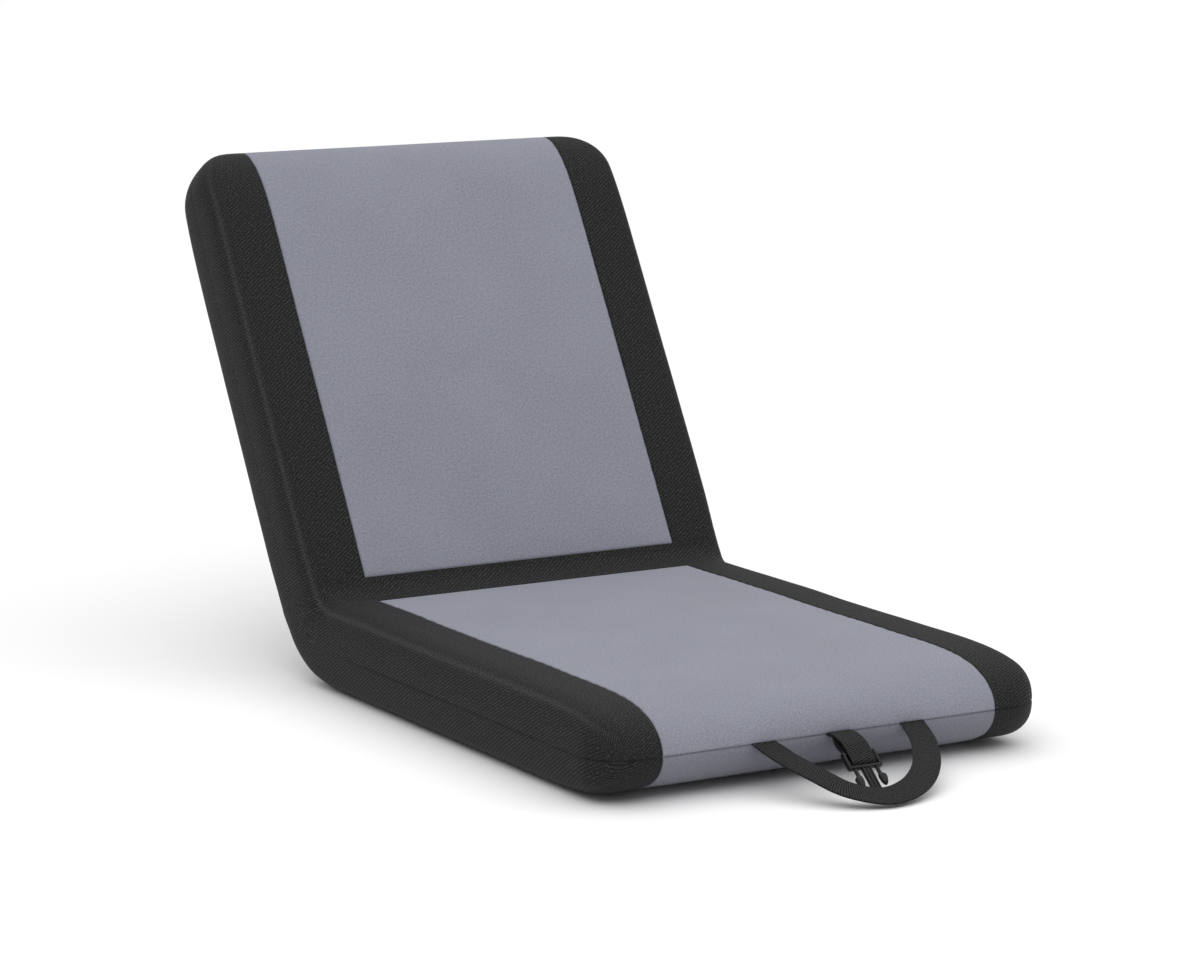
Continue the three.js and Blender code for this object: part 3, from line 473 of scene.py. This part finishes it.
def sewnDip(away):  # a narrow valley at the seam in a shallow wide one
    narrow = pad["stitchDepth"] * np.exp(-(away / pad["stitchWidth"]) ** 2)
    return narrow + pad["dipDepth"] * np.exp(-(away / pad["dipWidth"]) ** 2)


def softWaves(x, run, seed):  # long sines in random directions, and short puckers beside the seams
    random = np.random.default_rng(seed)
    total = np.zeros_like(x)
    for length in pad["waveLengths"]:
        turn, phase = random.uniform(0, 2 * math.pi, 2)
        total += length * np.sin((x * math.cos(turn) + run * math.sin(turn)) * 2 * math.pi / length + phase)
    away = fromPanelEdge(x, creaseReach - run)
    (slow, slowRun), (quick, quickRun) = pad["puckerDrift"]
    drift = slow * np.sin(run / slowRun) + quick * np.sin(run / quickRun + np.sign(x))
    gather = np.sin(2 * math.pi * run / pad["puckerPitch"] + drift)
    pucker = gather * np.exp(-(away / pad["puckerReach"]) ** 2)
    long = pad["waveHeight"] * total / sum(pad["waveLengths"])
    return easedIn((run - creaseReach) / pad["fadeRun"]) * (long + pad["puckerHeight"] * pucker)


def seamTone(away, rise, groove):  # 1 on a seam line, falling off within a millimetre
    onPanel = np.exp(-(away / pad["panelLine"]) ** 2)
    return np.maximum(onPanel, groove * np.exp(-(rise / pad["middleLine"]) ** 2))


# Painted highlight: a lighter line along the rounding between face and side, strongest where the edge stands high
def paintedHighlightLine(x, width, rounding, lift):  # the edge between face and side, where it stands high
    past = 1 + (np.abs(x) - width) / rounding
    return lift ** 3 * np.exp(-((past - pad["rubPlace"]) * rounding / pad["rubWidth"]) ** 2)


def arcLengths(points):  # distance along the first axis of a grid of points
    steps = np.linalg.norm(np.diff(points, axis=0), axis=-1)
    return np.concatenate([np.zeros_like(steps[:1]), np.cumsum(steps, 0)])


# The twill: the cloth lies over the face and the nose as one sheet, measured by u across and by its
# climb from the middle of the crease or of the hip. That counts one way round the whole chair, so the
# ribs keep their slope past the seams. On the sides they rise to the front at one slope.
twill = {"faceTurn": math.radians(37), "sideTurn": math.radians(30), "sideStart": 0.55, "sideBlend": 0.3}


def twillTones(points, u, climb):
    faceTurn, sideTurn = twill["faceTurn"], twill["sideTurn"]
    normal = np.cross(np.gradient(points, axis=0), np.gradient(points, axis=1))
    normal /= np.maximum(np.linalg.norm(normal, axis=-1), 1e-12)[..., None]
    return {
        "ribFace": math.cos(faceTurn) * climb - math.sin(faceTurn) * u,
        "ribSide": math.sin(sideTurn) * points[..., 1] + math.cos(sideTurn) * points[..., 2],
        "onSide": easedIn((np.abs(normal[..., 0]) - twill["sideStart"]) / twill["sideBlend"]),
    }


# One half of a slab's skin: rows are runs from the hinge line and columns are x. The rise from the
# middle seam is half the thickness, times a superellipse along the nose and one across the side, less
# the dip at the panel's seam. A point is the hinge + along * run + down * (middle depth -+ rise), drawn
# in at the middle seam.
def slabHalf(slab, face):
    flatEnd = slab["length"] - pad["noseLength"]
    panelStart = creaseReach + slab["bandOverlap"]
    border = panelStart + borderSteps
    lapRows = [creaseReach] if slab["bandOverlap"] else []
    flat = np.linspace(border[-1], flatEnd, pad["flatRows"])[1:]
    nose = flatEnd + pad["noseLength"] * closing(pad["noseRows"], pad["nosePower"])[1:]
    runs = np.concatenate([lapRows, border, flat, nose])
    noseShare = np.clip((runs - flatEnd) / pad["noseLength"], 0, 1)
    lift = np.sqrt(1 - noseShare ** pad["noseExponent"])[:, None]
    widths = halfWidth(slab, runs)
    x, span = columnsAt(widths)
    run = np.broadcast_to(runs[:, None], x.shape)
    waves = softWaves(x, run, slab["seed"] + face)
    if face:
        across = np.maximum(0, 1 - (x / panelHalf) ** 2)
        reach = slab["length"] - pad["noseLength"] / 2 - creaseReach
        along = np.clip((run - creaseReach) / reach, 0, 1)
        half = midDepth + faceHeight(run) + slab["crown"] * across * np.sin(math.pi * along) ** 2 + waves
    else:
        half = padThickness / 2 - np.abs(waves)
    away = fromPanelEdge(x, panelStart - run)
    rounding = slab["sideRounding"]
    rise = lift * edgeShare(x, widths[:, None], rounding, slab["sideExponent"]) * (half - sewnDip(away))
    groove = slab["groove"] * easedIn((run - creaseReach) / pad["grooveFade"])
    groove = groove + (1 - groove) * noseShare[:, None] ** 4  # every slab has it in full across its end
    pull = groove * pad["grooveDepth"] * np.exp(-(rise / pad["grooveWidth"]) ** 2)
    forward = np.clip((run - slab["length"]) / slab["cornerRadius"] + 1, 0, 1)
    sideways = np.sqrt(1 - forward ** 2)
    drawnRun = run - pull * forward
    depth = midDepth + (-rise if face else rise)
    points = hinge + drawnRun[..., None] * slab["along"] + depth[..., None] * slab["down"]
    points[..., 0] = x - pull * sideways * x / widths[:, None]
    u = x + np.sign(x) * (lift * half - rise)
    v = run + (1 - lift) * padThickness / 2
    climb = slab["side"] * (v - creaseReach + foldLength(face) / 2) * (1 if face else -1)
    # the edge tone here is the painted highlight line along the rounding
    tones = {"seam": seamTone(away, rise, groove), "rub": paintedHighlightLine(x, widths[:, None], rounding, lift),
             **twillTones(points, u, climb)}
    return {"points": points, "uv": np.stack([u, v], -1), "tones": tones}, (*span, len(lapRows))


def bandLine(share, depth):  # follows the seat, swings round the hinge line, then follows the back
    polar = -math.pi / 2 + backTurn * (np.clip(share, -0.5, 0.5) + 0.5)
    run = np.maximum(np.abs(share) * 2 - 1, 0) * creaseReach
    along = np.where(share[:, None] < 0, seat["along"], back["along"])
    swing = np.stack([np.zeros_like(polar), np.cos(polar), np.sin(polar)], -1)
    return hinge + run[:, None] * along + np.reshape(depth, (-1, 1)) * swing


def creaseLine(share):  # an arc through both crease seams that rounds the hinge line
    height = faceHeight(np.array(creaseReach))
    seamTurn = halfOpening - math.atan2(height, creaseReach)
    seamDistance = math.hypot(creaseReach, height)
    rise = seamDistance * math.cos(seamTurn) - pad["creaseRoll"]
    arc = (rise ** 2 + (seamDistance * math.sin(seamTurn)) ** 2) / (2 * rise)
    centre = pad["creaseRoll"] + arc
    angle = share * seamTurn
    out = centre * np.cos(angle) - np.sqrt(arc ** 2 - (centre * np.sin(angle)) ** 2)
    polar = math.pi - halfOpening - angle
    return hinge + out[:, None] * np.stack([np.zeros_like(polar), np.cos(polar), np.sin(polar)], -1)


def foldLine(share, face):  # the middle of the crease, or of the hip
    hipDepth = rearDepth - pad["hipDraw"] * (1 - share ** 2) ** 2
    return creaseLine(share) if face else bandLine(share, hipDepth)


def foldLength(face):
    return arcLengths(foldLine(np.linspace(-1, 1, pad["foldSteps"]), face))[-1]


# One half of the band round the fold: each row goes straight from the middle seam's line out to the
# crease, or to the hip, by a superellipse across the side. Its section goes over from seat to back.
def bandHalf(face):
    border = borderSteps / (2 * creaseReach)
    between = np.linspace(-1 + border[-1], 1 - border[-1], pad["bandRows"])[1:-1]
    shares = np.concatenate([-1 + border, between, (1 - border)[::-1]])
    x, _ = columnsAt(np.full(len(shares), chairHalf))
    seamLine = bandLine(shares, midDepth)
    far = foldLine(shares, face)
    reach = np.linalg.norm(far - seamLine, axis=1)[:, None]
    outward = (far - seamLine) / reach
    towardsBack = (shares[:, None] + 1) / 2
    rounding, exponent, overlap = (
        seat[size] + (back[size] - seat[size]) * towardsBack
        for size in ("sideRounding", "sideExponent", "bandOverlap"))
    away = fromPanelEdge(x, (1 - np.abs(shares))[:, None] * 2 * creaseReach + overlap)
    rise = edgeShare(x, chairHalf, rounding, exponent) * (reach - sewnDip(away))
    points = seamLine[:, None] + rise[..., None] * outward[:, None]
    points[..., 0] = x
    u = x + np.sign(x) * (reach - rise)
    v = np.broadcast_to((arcLengths(far) - foldLength(face) / 2)[:, None], x.shape)
    # the edge tone here is the painted highlight line along the rounding
    tones = {"seam": seamTone(away, rise, 0), "rub": paintedHighlightLine(x, chairHalf, rounding, 1),
             **twillTones(points, u, v if face else -v)}
    return {"points": points, "uv": np.stack([u, v], -1), "tones": tones}


def followFold(piece, *replaced):
    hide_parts(*replaced)
    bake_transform(piece)


def slabPad(slab):  # both halves of a slab's skin, joined round the middle seam
    upper, span = slabHalf(slab, True)
    lower, _ = slabHalf(slab, False)
    return joinHalves(slab["name"] + "_pad", upper, lower, True, ["grey_cloth", "black_cloth"], span)


def handed(*stems):  # the left and right one of each
    return [f"{stem}_{hand}" for stem in stems for hand in ("left", "right")]


seatPad = slabPad(seat)
followFold(seatPad, "seat_foam_upper", "seat_foam_lower", "seat_top_panel", "seat_bottom_panel",
           *handed("seat_side_upper", "seat_side_lower"))
backPad = slabPad(back)
followFold(backPad, "back_foam_front", "back_foam_rear", "back_front_panel", "back_rear_panel",
           *handed("back_side_front", "back_side_rear"))
hingeBand = joinHalves("hinge_band", bandHalf(True), bandHalf(False), False, ["black_cloth"])
followFold(hingeBand, "crease_cover", "hip_cover", "hip_foam")
print("padding: seat", len(seatPad.data.polygons), "back", len(backPad.data.polygons),
      "band", len(hingeBand.data.polygons), "faces")


# Rings of points joined in order, with a flat wall over each end
def ringShell(rings):
    count, around = rings.shape[:2]
    grid = np.arange(count * around).reshape(count, around)
    points = rings.reshape(-1, 3)
    sides = quads(np.hstack([grid, grid[:, :1]]))
    ends = [grid[0, ::-1].tolist(), grid[-1].tolist()]
    if volumeOf(points, sides) < 0:
        sides = sides[:, ::-1]
        ends = [end[::-1] for end in ends]
    return points, sides.tolist() + ends


def sectionOutline(count, exponent):  # a superellipse in a square of two, as across and up
    turn = (np.arange(count) + 0.5) * 2 * math.pi / count
    across, up = np.cos(turn), np.sin(turn)
    power = 2 / exponent
    return np.sign(across) * np.abs(across) ** power, np.sign(up) * np.abs(up) ** power


def smoothRoute(points, steps):  # centripetal Catmull-Rom: a cubic between each two points
    points = np.asarray(points, float)
    run = np.vstack([2 * points[0] - points[1], points, 2 * points[-1] - points[-2]])
    gaps = np.sqrt(np.linalg.norm(np.diff(run, axis=0), axis=1))
    t = np.linspace(0, 1, steps, endpoint=False)[:, None]
    spans = []
    for i in range(len(points) - 1):
        a, b, c, d = run[i:i + 4]
        first, middle, last = gaps[i:i + 3]
        leave = ((b - a) / first - (c - a) / (first + middle) + (c - b) / middle) * middle
        arrive = ((c - b) / middle - (d - b) / (middle + last) + (d - c) / last) * middle
        spans.append((2 * t ** 3 - 3 * t ** 2 + 1) * b + (t ** 3 - 2 * t ** 2 + t) * leave
                     + (3 * t ** 2 - 2 * t ** 3) * c + (t ** 3 - t ** 2) * arrive)
    return np.vstack([*spans, points[-1:]])


def evenly(route, spacing):  # the same route in steps of one length, and how far along each one lies
    length = arcLengths(route)
    places = np.linspace(0, length[-1], round(length[-1] / spacing))
    return np.stack([np.interp(places, length, route[:, axis]) for axis in range(route.shape[1])], -1), places


# Webbing: a flat superellipse section carried along a route, with its width laid along `across`
webbingSection = {"points": 32, "exponent": 7}


def ribbon(name, route, places, across, width, thickness):
    tangent = np.gradient(route, axis=0)
    up = np.cross(tangent, across)
    up /= np.linalg.norm(up, axis=1)[:, None]
    aside, rise = sectionOutline(webbingSection["points"], webbingSection["exponent"])
    rings = (route[:, None] + (aside * width / 2)[None, :, None] * across[:, None]
             + (rise[None, :] * thickness[:, None] / 2)[..., None] * up[:, None])
    points, faces = ringShell(rings)
    flatUv = np.stack(np.broadcast_arrays(aside[None, :] * width / 2, places[:, None]), -1).reshape(-1, 2)
    print(name, "route", round(float(places[-1]), 4), "m,", len(route), "sections")
    return addPiece(name, points, faces, flatUv[np.concatenate(faces)], ["webbing"])


def seamTaper(places, atSeam, full, run):  # thin where both ends enter the seam
    fromEnd = np.minimum(places, places[-1] - places)
    return atSeam + (full - atSeam) * easedIn(fromEnd / run)


# Carry handle: webbing laid in a hook shape, in a plane that droops from the seam. Its width stands
# square to its route, and turns to lie along the seam at both ends, which are tucked in.
handleSizes = {
    "span": 0.1555, "reach": 0.1005, "droop": 20, "width": 0.025, "thickness": 0.0022, "seamThickness": 0.001,
    "squareRun": 0.014, "tuck": 0.0015, "tuckedFrom": 0.98, "taperRun": 0.010,
    # shares of half the span and of the reach
    "routeShares": [(-1, 0), (-0.9, 0.28), (-0.74, 0.56), (-0.54, 0.84), (-0.18, 1), (0.235, 0.925),
                    (0.62, 0.68), (0.9, 0.31), (1, 0)],
    "routeSteps": 14, "spacing": 0.002,
}


def carryHandle(sizes=handleSizes):
    shares = np.array(sizes["routeShares"])
    flat = smoothRoute(shares * [sizes["span"] / 2, sizes["reach"]], sizes["routeSteps"])
    flat, places = evenly(flat, sizes["spacing"])
    tangent = np.gradient(flat, axis=0)
    tangent /= np.linalg.norm(tangent, axis=1)[:, None]
    normal = np.stack([tangent[:, 1], -tangent[:, 0]], -1)
    fromEnd = np.minimum(places, places[-1] - places)
    square = 1 - easedIn(fromEnd / sizes["squareRun"])[:, None]
    ahead = np.stack([np.sign(normal[:, 0]), np.zeros(len(flat))], -1)
    across = normal * (1 - square) + ahead * square
    flat[:, 1] -= sizes["tuck"] * (square[:, 0] > sizes["tuckedFrom"])
    droop = math.radians(sizes["droop"])
    outward = np.array([0, -math.cos(droop), -math.sin(droop)])
    seam = np.array(joints["handle_lift"]["pos_m"])
    right = np.array([1, 0, 0])
    route = seam + flat[:, :1] * right + flat[:, 1:] * outward
    acrossWorld = across[:, :1] * right + across[:, 1:] * outward
    thickness = seamTaper(places, sizes["seamThickness"], sizes["thickness"], sizes["taperRun"])
    return ribbon("handle_webbing", route, places, acrossWorld, sizes["width"], thickness)


# A tape sewn to itself: out from the seam, round a bar and back, as y and z from the seam. Between the
# sewn neck and the bar each leg bows to its own side, by its slack.
tapeSizes = {
    "width": 0.025, "thickness": 0.0015, "seamThickness": 0.0008, "layer": 0.0008, "taperRun": 0.006,
    "bend": 0.0031, "bendAngle": 75, "straight": 0.013,
    "legSteps": 12, "bendSteps": 11, "routeSteps": 4, "spacing": 0.0012,
}


def tapeLoop(name, seam, neck, bar, turn, slacks, sizes=tapeSizes):
    way = np.array([math.cos(turn), math.sin(turn)])
    side = np.array([math.sin(turn), -math.cos(turn)])
    neck = np.asarray(neck, float)
    slope = np.gradient(neck, axis=0)
    left = np.stack([slope[:, 1], -slope[:, 0]], -1) / np.linalg.norm(slope, axis=1)[:, None]

    def leg(sign, slack):  # a quadratic curve to the shoulder, then straight on to the bar
        start = neck[-1] + sign * left[-1] * sizes["layer"]
        end = bar + sign * side * sizes["bend"]
        shoulder = end - way * sizes["straight"]
        control = (start + shoulder) / 2 + sign * side * slack
        t = np.linspace(0, 1, sizes["legSteps"])[1:, None]
        return np.vstack([(1 - t) ** 2 * start + 2 * t * (1 - t) * control + t ** 2 * shoulder, end])

    angles = np.radians(np.linspace(sizes["bendAngle"], -sizes["bendAngle"], sizes["bendSteps"]))[:, None]
    bow = bar + sizes["bend"] * (way * np.cos(angles) + side * np.sin(angles))
    out = neck + left * sizes["layer"]
    home = neck - left * sizes["layer"]
    route = np.vstack([out, leg(1, slacks[0]), bow, leg(-1, slacks[1])[::-1], home[::-1]])
    route, places = evenly(smoothRoute(route, sizes["routeSteps"]), sizes["spacing"])
    world = np.column_stack([np.full(len(route), seam[0]), seam[1] + route[:, 0], seam[2] + route[:, 1]])
    across = np.broadcast_to(np.array([1.0, 0, 0]), world.shape)
    thickness = seamTaper(places, sizes["seamThickness"], sizes["thickness"], sizes["taperRun"])
    return ribbon(name, world, places, across, sizes["width"], thickness)


# Clip plug: bars of superellipse section, two prongs and a ribbed guide, made in its own x, out (away
# from the seam) and up, and then hung at its droop below the seam
plugSizes = {
    "barRun": 0.0368, "barDrop": 0.018, "droop": 40,
    "neck": [(0.0015, 0), (-0.003, 0), (-0.008, 0)], "slacks": (0.0035, 0.006),  # of its tape
    "width": 0.0345, "thickness": 0.005, "bar": 0.003, "slot": 0.0045, "rounding": 0.0008,
    "prongStart": 0.006, "prongEnd": 0.0272, "stem": 0.0112, "bulbOut": 0.0010, "bulbHalf": 0.0038,
    "guideEnd": 0.033, "rib": 0.0021, "ribPitch": 0.0036, "web": 0.0022,
    "rearShare": 0.7, "pinShare": 0.95, "ribShare": 0.78,  # of the thickness, of a bar, of the thickness
    # share of the prong's length, outward shift, half width, half thickness
    "prongShares": [
        (0, 0, 0.46, 0.62), (0.30, 0, 0.44, 0.60), (0.42, 0.10, 0.46, 0.64), (0.47, 0.75, 0.80, 0.88),
        (0.52, 0.95, 0.98, 1), (0.66, 1, 1, 1), (0.80, 0.86, 0.84, 0.92), (0.92, 0.6, 0.58, 0.74),
        (0.98, 0.5, 0.36, 0.52), (1, 0.48, 0.2, 0.3)],
    "sectionPoints": 28, "barExponent": 4.5, "prongExponent": 3, "prongSteps": 46, "endSteps": 5,
}


# Sections along a line, each with its own middle, half width and half height; crossways the line runs in x
def loftAlong(places, middle, halfAside, halfUp, crossways=False, exponent=plugSizes["barExponent"]):
    aside, up = sectionOutline(plugSizes["sectionPoints"], exponent)
    places, middle, halfAside, halfUp = (
        np.asarray(values, float)[:, None] for values in (places, middle, halfAside, halfUp))
    lengthways = np.broadcast_to(places, (len(places), len(aside)))
    sideways = middle + halfAside * aside
    flat = (lengthways, sideways) if crossways else (sideways, lengthways)
    return np.stack([*flat, halfUp * up], -1)


def softBar(start, end, middle, halfAside, halfUp, crossways=False):  # a bar with rounded ends
    radius = plugSizes["rounding"]
    turn = np.linspace(0, math.pi / 2, plugSizes["endSteps"])
    away = radius * (1 - np.cos(turn))
    inset = radius * (1 - np.sin(turn))
    places = np.concatenate([start + away, (end - away)[::-1]])
    insets = np.concatenate([inset, inset[::-1]])
    steady = np.full(len(places), middle)
    return loftAlong(places, steady, halfAside - insets, halfUp - insets, crossways)


def prong(sign, sizes=plugSizes):  # its shift, width and thickness follow the table, softened by a mean
    table = np.array(sizes["prongShares"])
    share = np.linspace(0, 1, sizes["prongSteps"])
    weights = np.array([1, 2, 3, 2, 1]) / 9
    followed = (np.interp(share, table[:, 0], table[:, column]) for column in (1, 2, 3))
    shift, wide, thick = (
        np.convolve(np.pad(values, 2, mode="edge"), weights, mode="valid") for values in followed)
    places = sizes["prongStart"] + share * (sizes["prongEnd"] - sizes["prongStart"])
    middle = sign * (sizes["stem"] + shift * sizes["bulbOut"])
    return loftAlong(places, middle, wide * sizes["bulbHalf"], thick * sizes["thickness"] / 2,
                     exponent=sizes["prongExponent"])


def clipPlug(sizes=plugSizes):
    half, bar, up = sizes["width"] / 2, sizes["bar"] / 2, sizes["thickness"] / 2
    front = sizes["slot"] + bar
    rear = -(sizes["slot"] + 2 * bar) - bar
    pin = bar * sizes["pinShare"]
    rib = sizes["rib"] / 2
    rings = [
        softBar(-half, half, front, bar, up, True),
        softBar(-half, half, rear, bar, up * sizes["rearShare"], True),
        softBar(-half + bar, half - bar, 0, pin, pin, True),
        *(softBar(rear - bar, front + bar, sign * (half - bar), bar, up) for sign in (-1, 1)),
        *(prong(sign) for sign in (-1, 1)),
        softBar(front, sizes["guideEnd"] - sizes["rib"], 0, sizes["ribPitch"] + rib, sizes["web"] / 2),
        *(softBar(front, sizes["guideEnd"], place * sizes["ribPitch"], rib, up * sizes["ribShare"])
          for place in (-1, 0, 1)),
    ]
    droop = math.radians(sizes["droop"])
    outward = np.array([0, -math.cos(droop), -math.sin(droop)])
    upward = np.array([0, -math.sin(droop), math.cos(droop)])
    middle = np.array(joints["clip_lift"]["pos_m"]) + [0, -sizes["barRun"], -sizes["barDrop"]]
    points, faces, count = [], [], 0
    for ring in rings:
        placed = middle + ring[..., :1] * [1, 0, 0] + ring[..., 1:2] * outward + ring[..., 2:] * upward
        shellPoints, shellFaces = ringShell(placed)
        faces += [[corner + count for corner in face] for face in shellFaces]
        points.append(shellPoints)
        count += len(shellPoints)
    points = np.concatenate(points)
    corners = np.concatenate(faces)
    return addPiece("plug_moulding", points, faces, points[corners][:, :2], ["clip_plastic"])


handlePiece = carryHandle()
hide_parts("carry_handle")
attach(handlePiece, "handle")

clipTape = tapeLoop(
    "clip_tape", np.array(joints["clip_lift"]["pos_m"]), plugSizes["neck"],
    np.array([-plugSizes["barRun"], -plugSizes["barDrop"]]), math.pi + math.radians(plugSizes["droop"]),
    plugSizes["slacks"])
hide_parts("clip_strap")
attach(clipTape, "clip")

plugPiece = clipPlug()
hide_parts("clip_plug")
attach(plugPiece, "clip")

# The socket's tape goes over the back's top edge and hangs behind it
socketSizes = {
    "drape": 0.020, "barDrop": 0.044, "slacks": (0, 0),
    "drapeShares": [(-0.1, -0.19), (-0.01, -0.11), (0.09, -0.1), (0.24, -0.17), (0.42, -0.29), (0.6, -0.5),
                    (0.75, -0.79), (0.85, -1.15)],
}
socketTape = tapeLoop(
    "socket_strap", np.array(joints["socket_lift"]["pos_m"]),
    np.array(socketSizes["drapeShares"]) * socketSizes["drape"],
    np.array([socketSizes["drape"], -socketSizes["barDrop"]]), -math.pi / 2, socketSizes["slacks"])
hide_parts("socket_tape")
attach(socketTape, "socket")
print("straps and clip made")


# Floor, light and camera
studio = {
    "floorHalf": 60.0, "world": 0.5,
    "skySpread": 110, "skyPower": 2.0,  # an even light from above
    # place, aim height, size, power
    "lamps": [((-1.6, -2.2, 2.7), 0.15, 2.2, 16), ((2.6, -1.6, 2.0), 0.2, 2.2, 8)],
    "cameraPlace": (-1.9277, -3.2377, 0.8828), "azimuth": -30.307, "elevation": 10.045,
    "lens": 122.28, "sensor": 36,
}
scene = bpy.context.scene
half = studio["floorHalf"]
floorCorners = [(-half, -half, 0), (half, -half, 0), (half, half, 0), (-half, half, 0)]
floorMesh = bpy.data.meshes.new("floor")
floorMesh.from_pydata(floorCorners, [], [(0, 1, 2, 3)])
floor = bpy.data.objects.new("floor", floorMesh)
scene.collection.objects.link(floor)
floorMesh.materials.append(grained("paleFloor"))

world = bpy.data.worlds.new("studio")
world.use_nodes = True
background = world.node_tree.nodes["Background"].inputs
background["Color"].default_value = grey(1.0)
background["Strength"].default_value = studio["world"]
scene.world = world
scene.view_settings.view_transform = "Standard"

for index, (place, aimHeight, size, power) in enumerate(studio["lamps"]):
    lamp = bpy.data.lights.new(f"lamp{index}", "AREA")
    lamp.shape = "DISK"
    lamp.size = size
    lamp.energy = power
    holder = bpy.data.objects.new(f"lamp{index}", lamp)
    holder.location = place
    holder.rotation_mode = "QUATERNION"
    holder.rotation_quaternion = (Vector((0, 0, aimHeight)) - Vector(place)).to_track_quat("-Z", "Y")
    scene.collection.objects.link(holder)

sky = bpy.data.lights.new("sky", "SUN")
sky.angle = math.radians(studio["skySpread"])
sky.energy = studio["skyPower"]
scene.collection.objects.link(bpy.data.objects.new("sky", sky))

azimuth, elevation = math.radians(studio["azimuth"]), math.radians(studio["elevation"])
level = math.cos(elevation)
toCamera = Vector((math.sin(azimuth) * level, -math.cos(azimuth) * level, math.sin(elevation)))
cameraData = bpy.data.cameras.new("camera")
cameraData.lens = studio["lens"]
cameraData.sensor_width = studio["sensor"]
camera = bpy.data.objects.new("camera", cameraData)
camera.location = studio["cameraPlace"]
camera.rotation_mode = "QUATERNION"
camera.rotation_quaternion = (-toCamera).to_track_quat("-Z", "Y")
scene.collection.objects.link(camera)
scene.camera = camera
print("studio set")
